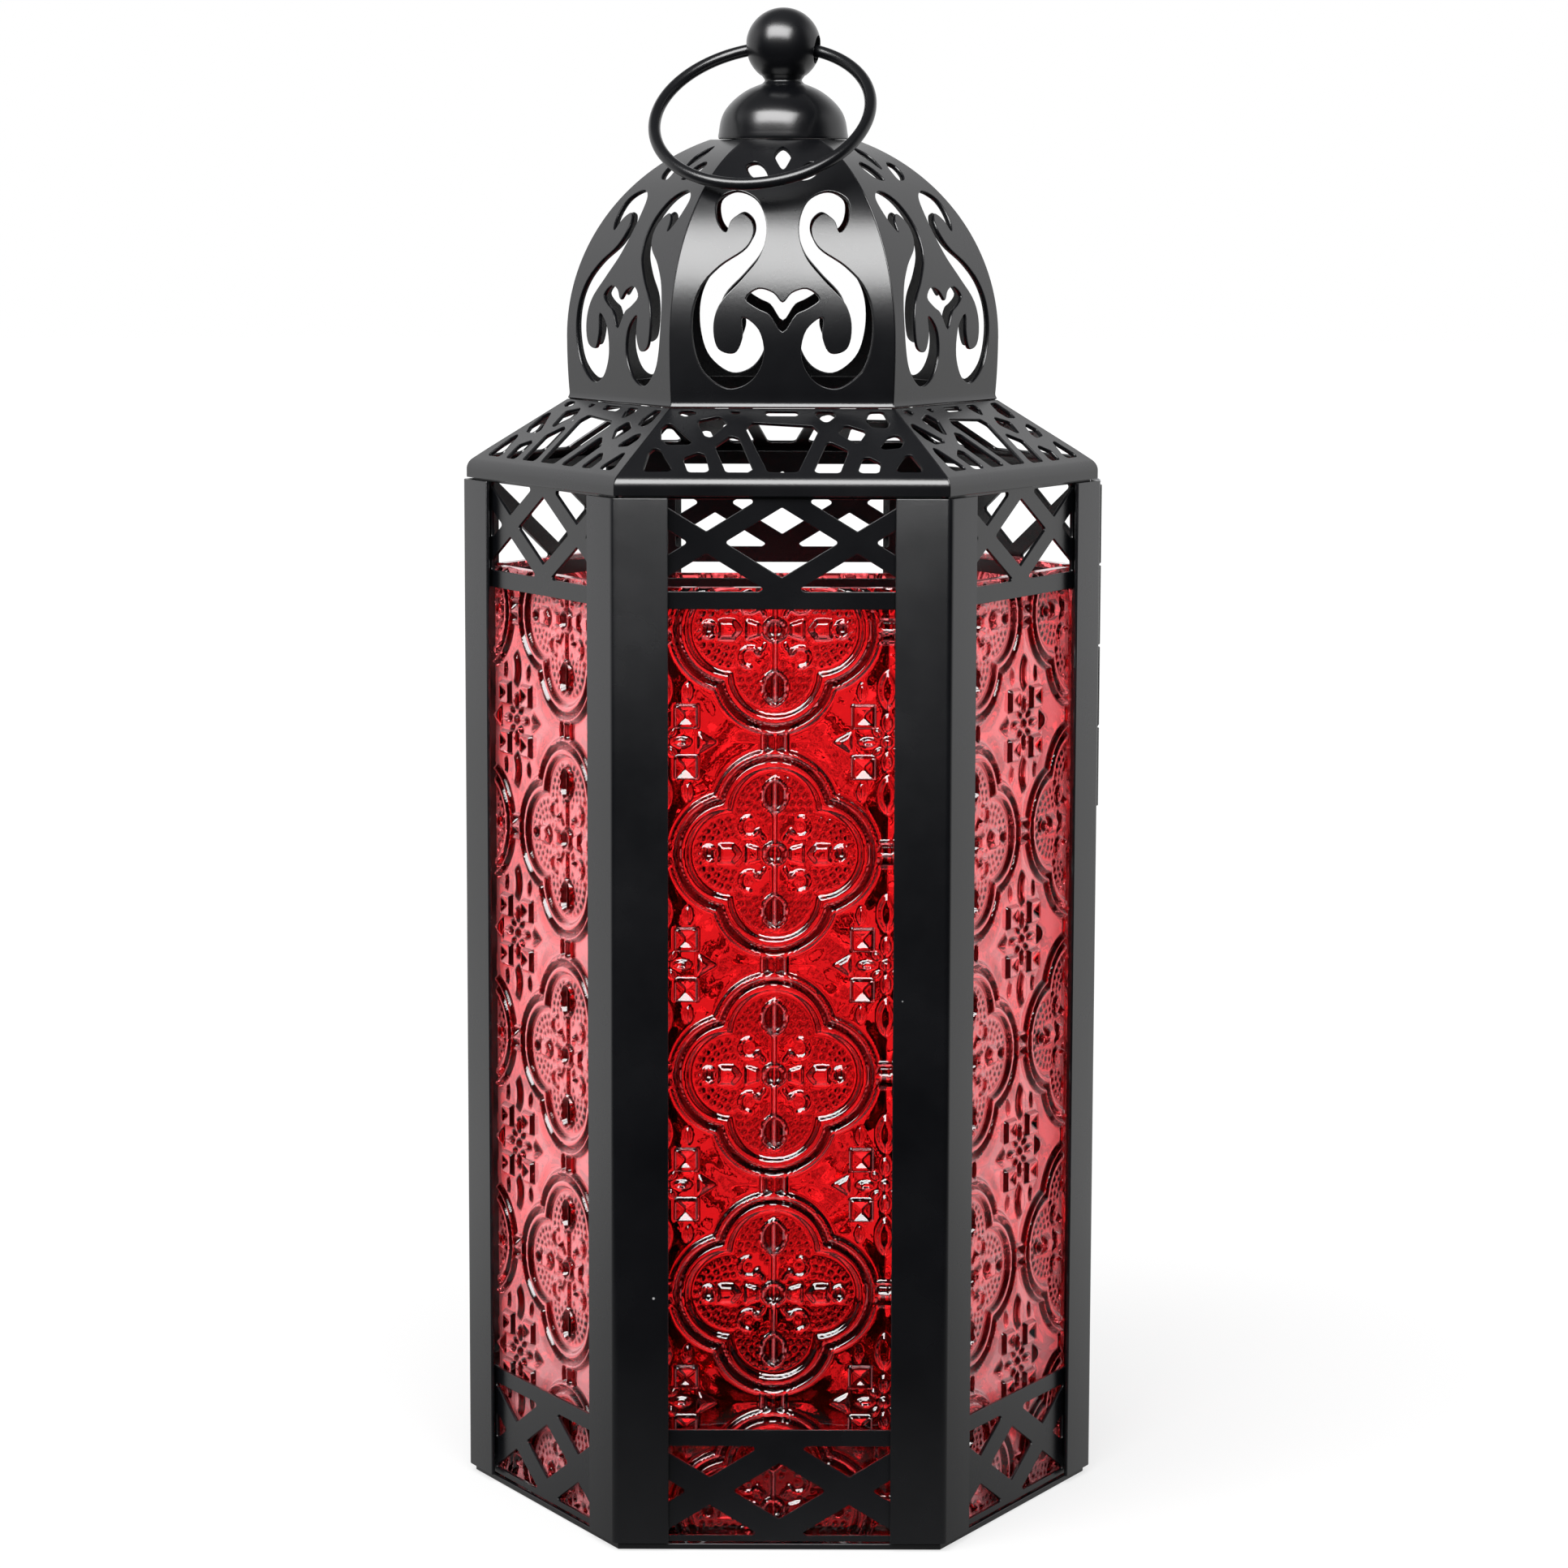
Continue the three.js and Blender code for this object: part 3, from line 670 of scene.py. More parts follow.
def bead_rows(x, y, horizontal):
    """Rows of beads that follow the outline of each lobe."""
    lx = np.where(horizontal, np.abs(x) - LOBE_AT, x)
    ly = np.where(horizontal, y, np.abs(y) - LOBE_AT)
    r = np.hypot(lx, ly)
    middle = (np.floor(r / ROW) + 0.5) * ROW
    around = np.maximum(np.round(2 * np.pi * middle / BEAD_PITCH), 1)
    return bump((r - middle) / 0.62) * (0.5 + 0.5 * np.cos(around * np.arctan2(ly, lx)))


def medallion(x, y, bead_high):
    """A medallion's height at (x, y) from its centre."""
    ax, ay = np.abs(x), np.abs(y)
    side, end = lobes(x, y)
    inside = np.maximum(side, end)
    # the outline: a ridge, a groove, a flat band and a groove
    h = 0.55 * bump((inside - 0.55) / 0.8)
    h -= 0.22 * bump((inside - 1.55) / 0.5)
    h += 0.42 * step((inside - 1.75) / 0.35) * step((3.35 - inside) / 0.45)
    h -= 0.12 * bump((inside - FIELD_IN) / 0.5)

    # beads, kept clear of all the other motifs
    ring = np.hypot(x, y)
    eye = lens(x, ay - EYE_Y, *EYE_HALF)
    block = np.minimum(np.minimum(1.9 - ay, 9.9 - ax), (ax - 5.3) * 0.75 - ay * 0.62)
    curl = np.hypot(ax - CURL_AT[0], ay - CURL_AT[1])
    dimple = np.hypot(ax - DIMPLE_X, y)
    field = step((inside - FIELD_IN) / 0.5)
    clear = step((-0.15 - eye) / 0.4) * step((-0.2 - block) / 0.4) * step((ring - 4.8) / 0.5)
    clear *= step((curl - 2.3) / 0.4) * step((dimple - 1.5) / 0.4)
    clear *= step((ax - 0.7) / 0.3)
    h += bead_high * (bead_rows(x, y, side > end) - 0.2) * field * clear

    # eyes above and below, with a rib down the middle
    h += 0.45 * bump((eye - 0.05) / 0.4) - 0.33 * step(eye / 0.4)
    h += 0.6 * bump(x / 0.5) * step((eye - 0.2) / 0.4)
    # stems, the round boss, and the small bow between them
    h += 0.38 * bump(x / 0.4) * step((ay - 1.8) / 0.3) * step((7.3 - ay) / 0.3)
    h += 0.5 * bump((ring - BOSS_RADIUS) / 0.5) - 0.2 * step((1.5 - ring) / 0.5)
    h += 0.3 * bump(x / 0.45) * (ring < 1.5)
    bow = np.minimum(0.35 + 0.32 * ax - ay, np.minimum(ax - 2.3, 5.2 - ax))
    h += 0.4 * step(bow / 0.6)
    # blocks at the sides, cut with slopes, and a dimple behind each
    h += 0.6 * np.clip(block / 0.9, 0, 1)
    h += 0.3 * bump((dimple - 1.25) / 0.4) - 0.3 * step((1.0 - dimple) / 0.7)
    # four curls, open on one side, and the links from the boss to them
    open_side = np.arctan2(ay - CURL_AT[1], ax - CURL_AT[0])
    h += 0.32 * bump((curl - 1.65) / 0.5) * step((2.4 - np.abs(open_side + 0.6)) / 0.4 + 0.4)
    h += 0.15 * bump(curl / 0.9)
    link = np.hypot(ax - LINK_AT[0], ay - LINK_AT[1]) - LINK_RADIUS
    h += 0.32 * bump(link / 0.4) * step((ay - LINK_AT[1]) / 0.4) * step((LINK_AT[0] - ax) / 0.4)
    return np.where(inside > -0.3, h, 0.0)


def swung(x, y, turn):
    c, s = math.cos(turn), math.sin(turn)
    return x * c + y * s, -x * s + y * c


def rosette(x, y):
    """Between four medallions: a boss, petals, cut squares, arrows and leaves."""
    r = np.hypot(x, y)
    ax, ay = np.abs(x), np.abs(y)
    h = 0.5 * step((1.15 - r) / 0.8)
    for turn in (0, math.pi / 2):
        px, py = swung(x, y, turn)
        petal = lens(py, np.abs(px) - 3.3, 0.85, 1.9)
        h += 0.5 * np.clip(petal / 0.4, 0, 1) - 0.25 * bump(py / 0.3) * (petal > 0.1)
    for turn in (math.pi / 4, -math.pi / 4):
        px, py = swung(x, y, turn)
        petal = lens(py, np.abs(px) - 2.3, 0.6, 1.0)
        h += 0.4 * np.clip(petal / 0.3, 0, 1)
    off = np.maximum(np.abs(ax - SQUARE_AT[0]), np.abs(ay - SQUARE_AT[1]))
    square = SQUARE_HALF - off
    cut = off / SQUARE_HALF
    h += np.where(square > 0, 0.6 * cut * np.clip(square / 0.25, 0, 1) + 0.05, 0)
    arrow = np.minimum(ax - 5.9, (9.5 - ax) * 0.5 - ay * 0.86)
    h += 0.5 * np.clip(arrow / 0.7, 0, 1)
    leaf = lens(x, ay - 9.0, 1.7, 3.6)
    h += 0.5 * np.clip(leaf / 0.8, 0, 1)
    leaf_side = lens(ax - 4.4, ay - 8.6, 0.7, 1.7)
    h += 0.3 * np.clip(leaf_side / 0.4, 0, 1)
    return h


def relief(u, z, bead_high):
    """Height of the pressed pattern at (u, z), measured from a medallion's centre."""
    x = (u + PERIOD / 2) % PERIOD - PERIOD / 2
    y = (z + PERIOD / 2) % PERIOD - PERIOD / 2
    ax, ay = np.abs(x), np.abs(y)
    h = medallion(x, y, bead_high)
    # short bridges between neighbours: a rib, a groove on each side and a ridge beyond it
    for across, along in ((ax, ay), (ay, ax)):
        bridge = 0.45 * bump(across / 0.75) - 0.3 * bump((across - 1.25) / 0.5)
        bridge += 0.4 * bump((across - 2.0) / 0.45)
        h += step((along - 17.7) / 0.3) * bridge
    h += rosette(ax - PERIOD / 2, ay - PERIOD / 2)
    # the open ground swells a little
    return h + 0.12 * step(-np.maximum(*lobes(x, y)) / 3.0)


def glass_pane(outer, pane_top, at, pitch=0.3):
    """A slab with the relief cut into its outer side: (vertices, faces, how much painted shade each
    vertex gets).
    """
    count_u = int(round(2 * PANE_HALF / pitch))
    count_z = int(round((pane_top - PANE_FOOT) / pitch))
    us = np.linspace(-PANE_HALF, PANE_HALF, count_u + 1)
    zs = np.linspace(PANE_FOOT, pane_top, count_z + 1)
    uu, zz = np.meshgrid(us, zs)
    edge = np.minimum(np.minimum(PANE_HALF - np.abs(uu), zz - PANE_FOOT), pane_top - zz)
    height, bolder = (
        np.clip(RELIEF_SCALE * relief(uu - at[0], zz - at[1], bead_high), RELIEF_LOWEST, RELIEF_DEPTH)
        * step(edge / RELIEF_MARGIN) for bead_high in (BEAD_HIGH, BEAD_SHADE)
    )
    front = np.stack([uu, -(outer - RELIEF_DEPTH + height), zz], -1).reshape(-1, 3)
    nu = count_u + 1
    i = np.arange(count_z)[:, None] * nu + np.arange(count_u)[None, :]
    quads = np.stack([i, i + 1, i + 1 + nu, i + nu], -1).reshape(-1, 4)
    inner = outer - (PANE_OUTER - PANE_INNER)
    back = [(u, -inner, z) for u, z in rectangle(-PANE_HALF, PANE_HALF, PANE_FOOT, pane_top)]
    base = len(front)
    last = count_z * nu
    bottom = list(range(0, nu))
    right = [k * nu + count_u for k in range(count_z + 1)]
    top = [last + k for k in range(nu)]
    left = [k * nu for k in range(count_z + 1)]
    faces = quads.tolist()
    faces.append([base, base + 3, base + 2, base + 1])
    faces.append(list(reversed(bottom)) + [base, base + 1])
    faces.append(list(reversed(right)) + [base + 1, base + 2])
    faces.append(top + [base + 2, base + 3])
    faces.append(left + [base + 3, base])
    # painted shade: taken from the slope of a bolder relief and from its depth
    slope = np.hypot(*np.gradient(bolder, zs, us))
    shade = (slope + DEEP_SHADE * np.maximum(-bolder, 0)).ravel()
    return np.concatenate([front, np.array(back)]), faces, np.concatenate([shade, np.zeros(len(back))])


def make_panes():
    for face, normal in FACES.items():
        outer = PANE_OUTER + (DOOR_PANE_SHIFT if face == DOOR_FACE else 0)
        pane_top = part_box(f"pane_{face}")[1].z / MM
        body = "door" if face == DOOR_FACE else "lantern"
        verts, faces, shade = glass_pane(outer, pane_top, PATTERN_AT[face])
        pane = add_mesh(f"glass_{face}", (verts, faces), normal + 90, GLASS, body,
                        [f"pane_{face}"], angle=60)
        # each point's painted shade, kept for the glass material
        stored = pane.data.attributes.new(PAINTED_RELIEF_SHADE, "FLOAT", "POINT")
        stored.data.foreach_set("value", shade)


# ---------------------------------------------------------------- roof

EAVE_OUTER = 48.95
EAVE_FOOT = 182.8
EAVE_ROLL = 2.4
ROLL_Z = 184.3
SLOPE = math.radians(35.6)
SLOPE_FOOT = (48.4, 186.0)
SLOPE_TOP_A = 33.2
MITRE = 0.02
# each hole of the roof is cut a little larger than drawn, and its corners are rounded
HOLE_GROWTH = 0.12
HOLE_ROUNDING = 0.8

# Holes of a roof panel as (u, distance up the slope).
ROOF_HOLES = [
    [(-23.4, 1.8), (-22.5, 6.6), (-21.6, 7.9), (-20.7, 7.2), (-18.5, 1.8)],
    [(-20.6, 13.2), (-19.3, 14.8), (-15.4, 9.7), (-15.8, 9.0), (-19.4, 8.9), (-20.5, 10.4)],
    [(-16.7, 5.2), (-14.2, 6.7), (-13.1, 6.0), (-12.4, 1.7), (-15.8, 1.7)],
    [(-14.5, 15.2), (-10.7, 16.5), (-9.5, 14.6), (-12.2, 10.9), (-13.1, 11.4)],
    [(-11.3, 8.4), (-8.8, 11.2), (-7.4, 10.5), (-4.9, 1.7), (-9.4, 1.7)],
    [(-6.1, 13.3), (-5.0, 14.8), (5.1, 13.9), (6.0, 12.6), (2.6, 1.7), (-2.3, 1.7)],
    [(5.4, 1.6), (7.8, 9.8), (11.2, 7.3), (9.7, 1.6)],
    [(9.6, 12.1), (10.8, 14.2), (14.3, 12.5), (13.0, 9.6), (12.2, 9.6)],
    [(12.9, 1.6), (13.8, 5.3), (14.7, 5.5), (16.6, 3.9), (16.3, 1.6)],
    [(16.2, 7.5), (18.1, 10.9), (19.5, 11.6), (20.6, 9.9), (20.0, 8.2)],
    [(19.1, 1.8), (21.0, 6.0), (21.8, 6.2), (24.0, 1.8)],
    [(-17.8, 17.3), (-16.8, 18.0), (-15.4, 18.0), (-14.6, 17.3), (-16.6, 16.6)],
    [(-9.1, 17.9), (-6.9, 17.9), (-7.9, 16.8)],
    [(-2.8, 17.9), (2.6, 17.9), (2.6, 16.8), (-2.6, 16.8)],
    [(5.0, 17.9), (8.7, 17.9), (9.0, 16.7), (7.5, 14.8)],
    [(14.4, 15.4), (15.1, 17.8), (17.2, 17.9), (18.2, 14.8), (17.8, 13.5), (15.3, 13.8)],
]


def roof_profile():
    """The roof panel's section, and which of its points is the foot of the slope."""
    points = [(EAVE_OUTER, EAVE_FOOT + (ROLL_Z - EAVE_FOOT) * k / 3) for k in range(3)]
    centre = EAVE_OUTER - EAVE_ROLL
    end = math.pi / 2 - SLOPE
    for k in range(17):
        t = end * k / 16
        points.append((centre + EAVE_ROLL * math.cos(t), ROLL_Z + EAVE_ROLL * math.sin(t)))
    a = points[-1][0]
    foot = len(points) - 1
    for k in range(1, 7):
        b = a + (SLOPE_TOP_A - a) * k / 6
        points.append((b, SLOPE_FOOT[1] + (SLOPE_FOOT[0] - b) * math.tan(SLOPE)))
    return Profile(points), foot


def mitred_outline(profile):
    """A sixth of the round, laid flat: its sides meet the neighbours' at a mitre."""
    half = profile.at(profile.s)[0] * TAN30 - MITRE
    right = [(float(h), float(s)) for h, s in zip(half, profile.s)]
    left = [(-h, s) for h, s in reversed(right)]
    return right + left


def add_sixfold(name, profile, holes, node):
    """Bends one pierced sheet over a section and puts it on all six faces."""
    sheet = flat_sheet(mitred_outline(profile), holes, SHEET, PRESSED_EDGE)
    shape = bent_over(profile, sliced(sheet, profile.s[1:-1]), SHEET)
    for face, normal in FACES.items():
        add_mesh(f"{name}_{face}", shape, normal + 90, BLACK, "lantern", [f"{node}_{face}"])


def make_roof():
    profile, foot = roof_profile()
    foot_a = profile.p[foot][0]
    shift = profile.s[foot] - (SLOPE_FOOT[0] - foot_a) / math.cos(SLOPE)
    holes = []
    for hole in ROOF_HOLES:
        corners = turned_to([(u, s + shift) for u, s in hole], True)
        holes.append(fillet([tuple(p) for p in inset(corners, -HOLE_GROWTH)], HOLE_ROUNDING, 5))
    add_sixfold("roof", profile, holes, "roof_panel")


# ---------------------------------------------------------------- dome

DOME_FOOT = 197.1
DOME_WAIST = 208.0
DOME_RADIUS = 38.5
DOME_HEIGHT = 36.8
DOME_TOP = 242.7
# the gores' foot turns out a little, onto the roof's edge
LIP_HIGH = 0.9
LIP_OUT = 0.35
# how far the radius is smaller at the dome's foot than at its waist
FOOT_IN = 0.5

# Holes of a gore as (u, z). The scroll has a mirror image, and so has the side leaf.

SCROLL = [
    (9.8, 226.8), (8.9, 228.8), (7.0, 229.9), (5.3, 228.6), (5.0, 226.6), (6.2, 224.2), (10.8, 221.0),
    (13.9, 217.6), (15.4, 213.4), (15.3, 207.6), (13.6, 203.1), (9.4, 200.2), (5.6, 201.4), (3.3, 205.3),
    (4.1, 210.2), (6.9, 212.3), (6.9, 208.9), (8.3, 206.2), (11.0, 206.9), (11.9, 210.6), (10.9, 214.5),
    (7.0, 218.8), (3.9, 222.8), (2.8, 227.6), (4.4, 232.2), (7.9, 233.8), (11.2, 232.2), (11.2, 228.6),
]
HEART = [
    (0, 209.9), (2.3, 212.9), (4.3, 213.9), (6.3, 215.5), (4.2, 217.2), (1.6, 216.5),
    (0, 214.9), (-1.6, 216.5), (-4.2, 217.2), (-6.3, 215.5), (-4.3, 213.9), (-2.3, 212.9),
]
MIDDLE_LEAF = [(0, 237.5), (0.9, 238.6), (1.4, 240.0), (0, 241.4), (-1.4, 240.0), (-0.9, 238.6)]
SIDE_LEAF = [(2.6, 235.8), (4.4, 235.7), (5.9, 236.6), (6.4, 238.1), (4.7, 238.7), (3.2, 237.7)]


def dome_radius(z):
    if z < DOME_WAIST:
        down = (DOME_WAIST - z) / (DOME_WAIST - DOME_FOOT)
        return DOME_RADIUS - FOOT_IN * down * down
    up = (z - DOME_WAIST) / DOME_HEIGHT
    return DOME_RADIUS * math.sqrt(1 - up * up)


def gore_profile():
    last = math.asin((DOME_TOP - DOME_WAIST) / DOME_HEIGHT)
    heights = [DOME_FOOT + LIP_HIGH * k / 5 for k in range(5)]
    foot = DOME_FOOT + LIP_HIGH
    heights += [foot + (DOME_WAIST - foot) * k / 8 for k in range(8)]
    heights += [DOME_WAIST + DOME_HEIGHT * math.sin(last * k / 36) for k in range(37)]
    lip = [LIP_OUT * max(0.0, (foot - z) / LIP_HIGH) ** 2 for z in heights]
    return Profile([(dome_radius(z) * COS30 + out, z) for z, out in zip(heights, lip)])


def mirrored(points):
    return [(-u, z) for u, z in points]


def make_dome():
    profile = gore_profile()
    outlines = [
        spline(SCROLL, 5), spline(mirrored(SCROLL), 5), spline(HEART, 4), spline(MIDDLE_LEAF, 4),
        spline(SIDE_LEAF, 4), spline(mirrored(SIDE_LEAF), 4),
    ]
    holes = [[(u, profile.s_of_z(z)) for u, z in outline] for outline in outlines]
    add_sixfold("gore", profile, holes, "dome_gore")


# ---------------------------------------------------------------- cap, finial, ring

CAP_RADIUS = 11.5
CAP_FOOT = 242.75
CAP_TOP = 252.5
BALL_RADIUS = 6.6
BALL_Z = 259.15
BALL_FLAT = 253.9
HOLE_Z = 258.4
HOLE_RADIUS = 2.45
HOLE_TURN = -13.0
# the cap's outer side, from the rim up to the neck
CAP_CURVE = [
    (11.4, 243.9), (11.1, 245.8), (10.5, 247.4), (9.4, 248.9), (8.0, 250.2), (6.4, 251.3), (5.0, 251.95),
]
CAP_NECK = [(3.8, 252.4), (3.35, 252.85), (3.3, 253.1), (3.55, 253.5), (3.95, BALL_FLAT + 0.1)]
SCREW_BORE = 1.5
# the ring: how far it leans from upright, how far it is tilted, how far its wire sits above the
# hole's axis, its radius and its wire's
RING_LEAN = 50.8
RING_TILT = 1.5
RING_LIFT = 0.75
RING_RADIUS = 19.0
RING_WIRE = 1.07


def smooth_line(points, steps=4):
    """An open smooth curve through the points."""
    closed = spline(points + list(reversed(points[1:-1])), steps)
    return closed[:steps * (len(points) - 1)] + [points[-1]]


def make_cap():
    edge = [(-SHEET, 0.1), (-0.55, 0.0), (-0.2, 0.0), (-0.05, 0.08), (0.0, 0.25)]
    rim = [(CAP_RADIUS + r, CAP_FOOT + z) for r, z in edge] + [(CAP_RADIUS, 243.3)]
    outer = smooth_line(CAP_CURVE + [CAP_NECK[0]])
    inner = [tuple(p) for p in inset(np.array(outer), SHEET)[2:-3]]
    profile = rim + outer + [(3.0, 252.6), (SCREW_BORE, 252.6), (SCREW_BORE, CAP_TOP - SHEET)]
    profile += [(3.0, CAP_TOP - SHEET)] + list(reversed(inner))
    add_mesh("spun_cap", lathed(profile, 96), 0, BLACK, "lantern", ["top_cap"],
             angle=45)


def make_neck():
    profile = [(SCREW_BORE, CAP_TOP)] + smooth_line(CAP_NECK) + [(SCREW_BORE, BALL_FLAT + 0.1)]
    add_mesh("neck_ring", lathed(profile, 64), 0, BLACK, "lantern", ["finial_neck"],
             angle=45)


def applied(piece):
    """Turns a piece's modifiers into its mesh."""
    graph = bpy.context.evaluated_depsgraph_get()
    graph.update()
    baked = bpy.data.meshes.new_from_object(piece.evaluated_get(graph))
    old = piece.data
    piece.modifiers.clear()
    piece.data = baked
    bpy.data.meshes.remove(old)
    return piece


def soften(piece, width, angle):
    """Bevels a piece's sharp edges with a modifier."""
    soft = piece.modifiers.new("soft_edges", "BEVEL")
    soft.width = width * MM
    soft.segments = 2
    soft.limit_method = "ANGLE"
    soft.angle_limit = math.radians(angle)
    return soft


def make_ball():
    low = math.asin((BALL_FLAT - BALL_Z) / BALL_RADIUS)
    rise, steps = math.pi / 2 - low, 56
    angles = [low + rise * k / steps for k in range(steps)]
    profile = [(BALL_RADIUS * math.cos(t), BALL_Z + BALL_RADIUS * math.sin(t)) for t in angles]
    profile = [(0.0, BALL_FLAT)] + profile + [(0.0, BALL_Z + BALL_RADIUS)]
    ball = add_mesh("finial_globe", lathed(profile, 96), 0, BLACK, "lantern",
                    ["finial_ball"])
    reach = 9
    rod = [(0, -reach), (HOLE_RADIUS, -reach), (HOLE_RADIUS, reach), (0, reach)]
    tool_verts, tool_faces = lathed(rod, 48)
    lying = np.stack([tool_verts[:, 2], tool_verts[:, 0], tool_verts[:, 1] + HOLE_Z], 1)
    tool_verts = turned(lying, HOLE_TURN)
    me = bpy.data.meshes.new("cross_hole")
    me.from_pydata((tool_verts * MM).tolist(), [], outwards(tool_verts, tool_faces))
    me.materials.append(BLACK)
    tool = bpy.data.objects.new("cross_hole", me)
    bpy.context.scene.collection.objects.link(tool)
    cut = ball.modifiers.new("cross_hole", "BOOLEAN")
    cut.operation = "DIFFERENCE"
    cut.solver = "EXACT"
    cut.object = tool
    soften(ball, 0.25, 40)
    applied(ball)
    bpy.data.objects.remove(tool)
    ball.data.shade_smooth()
    ball.data.set_sharp_from_angle(angle=math.radians(40))


def make_ring():
    verts, faces = torus(RING_RADIUS, RING_WIRE)
    place = (Matrix.Translation((0, 0, HOLE_Z)) @ Matrix.Rotation(math.radians(-RING_LEAN), 4, "X")
             @ Matrix.Rotation(math.radians(RING_TILT), 4, "Y")
             @ Matrix.Translation((0, 0, RING_LIFT - RING_RADIUS)))
    m = np.array(place)
    verts = verts @ m[:3, :3].T + m[:3, 3]
    add_mesh("wire_ring", (verts, faces), HOLE_TURN, BLACK, "ring", ["ring_handle"])


# ---------------------------------------------------------------- door, hinge and latch

DOOR_HALF = 25.4
DOOR_TOP = 182.2
DOOR_DEPTH = 46.0
DOOR_BEND = 0.9
DOOR_WINDOW_HALF = 19.3
LEAF_THICK = 0.45
LEAF_GAP = 0.3


def door_section():
    """The plan of the door sheet's outer side from one folded edge to the other, as (u, a)."""
    bend = DOOR_BEND
    side = [(-DOOR_HALF, DOOR_DEPTH + (POST_OUTER - bend - DOOR_DEPTH) * k / 3) for k in range(3)]
    for k in range(9):
        t = math.pi - math.pi / 2 * k / 8
        side.append((-DOOR_HALF + bend + bend * math.cos(t), POST_OUTER - bend + bend * math.sin(t)))
    middle = [(u, POST_OUTER) for u in (-15.0, 0.0, 15.0)]
    return side + middle + [(-u, a) for u, a in reversed(side[:11])]


def make_door():
    section = Profile([(a, u) for u, a in door_section()])
    half = section.length / 2
    high = DOOR_TOP - 1.0
    holes = trellis_holes(LOWER, 18.2) + trellis_holes(UPPER, high)
    holes.append(fillet(rectangle(-DOOR_WINDOW_HALF, DOOR_WINDOW_HALF, *WINDOW), 0.6, 4))
    # drawn with height downwards across and the width along the section
    outline = fillet(rectangle(-DOOR_TOP, -WALL_FOOT, 0, section.length), 0.5, 3)
    cuts = [[(-z, u + half) for u, z in hole] for hole in holes]
    sheet = sliced(flat_sheet(outline, cuts, SHEET), section.s[1:-1])
    a, u, na, nu = section.at(sheet[0][:, 1])
    deep = SHEET - sheet[0][:, 2]
    zero = np.zeros_like(a)
    place = np.stack([u - nu * deep, -(a - na * deep), -sheet[0][:, 0]], 1)
    axes = (np.array([0, 0, -1.0]), np.stack([na, nu, zero], 1), np.stack([nu, -na, zero], 1))
    shape = shaped(sheet, SHEET, place, axes)
    add_mesh("door_panel", shape, FACES[DOOR_FACE] + 90, BLACK, "door", ["door_frame"])


def joined(first, second):
    """Two shapes as one mesh."""
    count = len(first[0])
    moved = [tuple(i + count for i in f) for f in second[1]]
    return np.concatenate([first[0], second[0]]), first[1] + moved


def knuckle_mesh(side, z0, z1):
    """A hinge knuckle and its leaf, which points to the door if side > 0, else to the post."""
    bore, lip, radius, soft = 0.8, 1.08, 1.2, 0.12
    barrel = lathed([(bore, z0), (lip, z0), (radius, z0 + soft), (radius, z1 - soft), (lip, z1),
                     (bore, z1)], 40, HINGE_U, -HINGE_A)
    reach = HINGE_U + 4.6 if side > 0 else HINGE_U - 3.1
    near = HINGE_U + side * 0.35
    outline = fillet(rectangle(min(near, reach), max(near, reach), z0, z1), 0.5, 4)
    leaf = flat_sheet(outline, [], LEAF_THICK, 0.1)
    return joined(barrel, on_front(leaf, POST_OUTER + LEAF_GAP, LEAF_THICK))


def make_hinge():
    turn = FACES[DOOR_FACE] + 90
    for name, side in (("post", -1), ("door", 1)):
        for level in ("upper", "lower"):
            node = f"hinge_{name}_knuckle_{level}"
            low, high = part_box(node)
            add_mesh(f"knuckle_{name}_{level}", knuckle_mesh(side, low.z / MM, high.z / MM), turn,
                     BLACK, "lantern" if side < 0 else "door", [node])
    low, high = (v.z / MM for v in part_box("hinge_pin"))
    profile = [(0, low), (0.35, low), (0.5, low + 0.15), (0.5, high - 0.8), (0.85, high - 0.8),
               (1.0, high - 0.6), (0.9, high - 0.2), (0.5, high), (0, high)]
    add_mesh("hinge_wire", lathed(profile, 32, HINGE_U, -HINGE_A), turn, STEEL, "lantern",
             ["hinge_pin"])


# ---------------------------------------------------------------- carried-over parts

def finish_node(node, shade):
    """Gives a carried-over node its material and softened edges."""
    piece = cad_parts[node]
    piece.data.materials.clear()
    piece.data.materials.append(shade)
    weld = piece.modifiers.new("weld", "WELD")
    weld.merge_threshold = 0.001 * MM
    soften(piece, SHEET_EDGE, 35).harden_normals = True


make_trellis()
make_posts()
make_panes()
make_roof()
make_dome()
make_cap()
make_neck()
make_ball()
make_ring()
make_door()
make_hinge()
for node in ("base_plate", "dome_collar", "latch_hook", "latch_rivet", "latch_peg"):
    finish_node(node, BLACK)
for face in FACES:
    finish_node(f"pane_strap_{face}", BLACK)
for node in ("finial_nut", "finial_screw"):
    finish_node(node, STEEL)


# ---------------------------------------------------------------- floor, light and camera

FLOOR_RADIUS = 6.0
# where the photograph's camera stands, how far it looks down and rolls, and its lens
CAMERA_AT = (0.00047, -0.8024, 0.2354)
CAMERA_DOWN = math.radians(7.655)
CAMERA_ROLL = 0.0028
CAMERA_LENS = 103.0
SOFTBOX = {"position": (-0.3, -0.92, 1.15), "target": (0, 0, 0.2), "size": (1.7, 0.85), "power": 76.0}


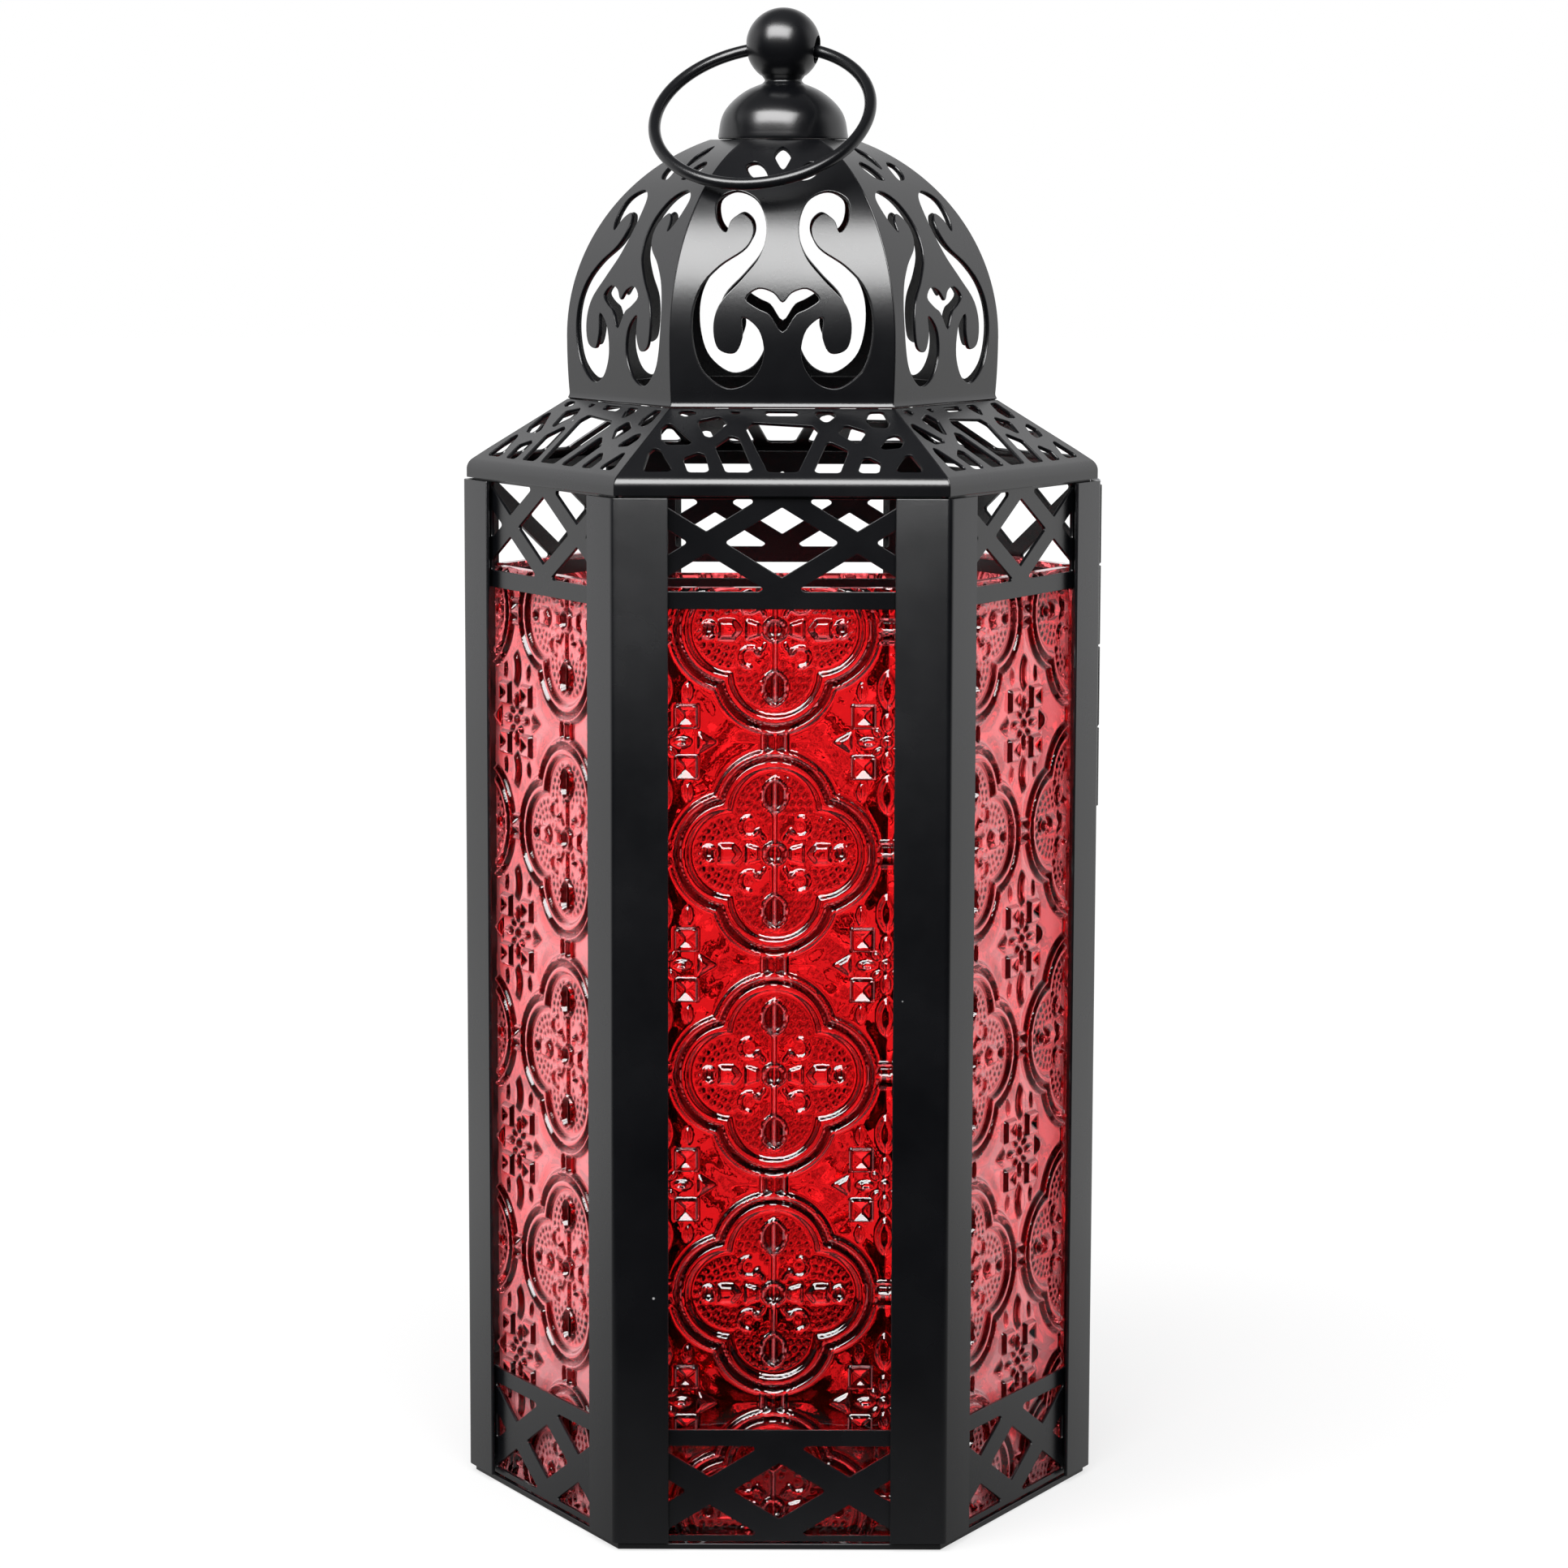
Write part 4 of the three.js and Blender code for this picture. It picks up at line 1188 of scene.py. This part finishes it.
def make_floor():
    """A plain pale floor that runs into the background."""
    me = bpy.data.meshes.new("floor")
    count = 96
    angles = [2 * math.pi * k / count for k in range(count)]
    points = [(FLOOR_RADIUS * math.cos(t), FLOOR_RADIUS * math.sin(t), 0.0) for t in angles]
    me.from_pydata(points, [], [list(range(count))])
    made, t = material("pale_floor")
    where = t.add("ShaderNodeTexCoord").outputs["Object"]
    away = t.add("ShaderNodeVectorMath", {0: where}, operation="LENGTH").outputs["Value"]
    matt = t.add("ShaderNodeBsdfDiffuse", {"Color": (0.32, 0.32, 0.32, 1)})
    pale = t.add("ShaderNodeEmission", {"Color": (1, 1, 1, 1), "Strength": 1.08})
    paleness = t.spread(away, 0.05, 0.3, 0.65, 1.0)
    seen = t.add("ShaderNodeMixShader", {0: paleness, 1: matt.outputs[0], 2: pale.outputs[0]})
    # in reflections it is dark in front of the lantern and bright behind it
    depth = t.add("ShaderNodeSeparateXYZ", {0: where}).outputs["Y"]
    level = t.spread(depth, -0.12, 0.12, 0.006, 0.85)
    reflected = t.add("ShaderNodeEmission", {"Color": (1, 1, 1, 1), "Strength": level})
    glossy = t.add("ShaderNodeLightPath").outputs["Is Glossy Ray"]
    both = t.add("ShaderNodeMixShader", {0: glossy, 1: seen.outputs[0], 2: reflected.outputs[0]})
    t.add("ShaderNodeOutputMaterial", {"Surface": both.outputs[0]})
    me.materials.append(made)
    floor = bpy.data.objects.new("floor", me)
    floor.location.z = cad_box[0].z - 0.0002
    bpy.context.scene.collection.objects.link(floor)


def make_world():
    """White to the eye; in reflections, white behind and at the sides, dark in front (-Y)."""
    world = bpy.data.worlds.new("studio")
    bpy.context.scene.world = world
    world.use_nodes = True
    t = Nodes(world.node_tree)
    way = t.add("ShaderNodeTexCoord").outputs["Generated"]
    axes = t.add("ShaderNodeSeparateXYZ", {0: way})
    behind = t.spread(axes.outputs["Y"], -0.35, 0.2, smooth=True)
    low = t.spread(axes.outputs["Z"], 0.8, 0.35, smooth=True)
    bright = t.math("MULTIPLY", behind, t.math("MULTIPLY_ADD", low, 0.85, 0.15))
    shade = t.mix(bright, (0.012, 0.013, 0.015, 1), (1.0, 1.0, 1.01, 1))
    rays = t.add("ShaderNodeLightPath")
    seen = t.math("MAXIMUM", rays.outputs["Is Camera Ray"], rays.outputs["Is Transmission Ray"])
    seen = t.math("MAXIMUM", seen, t.math("MULTIPLY", rays.outputs["Is Diffuse Ray"], 0.75))
    colour = t.mix(seen, shade, (1.0, 1.0, 1.0, 1))
    level = t.math("MULTIPLY_ADD", rays.outputs["Is Transmission Ray"], 0.8, 1.0)
    sky = t.add("ShaderNodeBackground", {"Color": colour, "Strength": level})
    t.add("ShaderNodeOutputWorld", {"Surface": sky.outputs[0]})


def make_softbox():
    light = bpy.data.lights.new("softbox_front", "AREA")
    light.shape = "RECTANGLE"
    light.size, light.size_y = SOFTBOX["size"]
    light.energy = SOFTBOX["power"]
    lamp = bpy.data.objects.new("softbox_front", light)
    lamp.location = SOFTBOX["position"]
    way = Vector(SOFTBOX["target"]) - Vector(SOFTBOX["position"])
    lamp.rotation_euler = way.to_track_quat("-Z", "Y").to_euler()
    bpy.context.scene.collection.objects.link(lamp)


def make_camera():
    data = bpy.data.cameras.new("camera")
    data.sensor_width = 36.0
    data.lens = CAMERA_LENS
    data.clip_start = 0.01
    camera = bpy.data.objects.new("camera", data)
    camera.matrix_world = (Matrix.Translation(CAMERA_AT)
                           @ Matrix.Rotation(math.radians(90) - CAMERA_DOWN, 4, "X")
                           @ Matrix.Rotation(CAMERA_ROLL, 4, "Z"))
    bpy.context.scene.collection.objects.link(camera)
    bpy.context.scene.camera = camera


make_floor()
make_world()
make_softbox()
make_camera()
scene = bpy.context.scene
scene.view_settings.view_transform = "Standard"
scene.view_settings.look = "None"
scene.cycles.max_bounces = 20
scene.cycles.transmission_bounces = 18
scene.cycles.transparent_max_bounces = 12
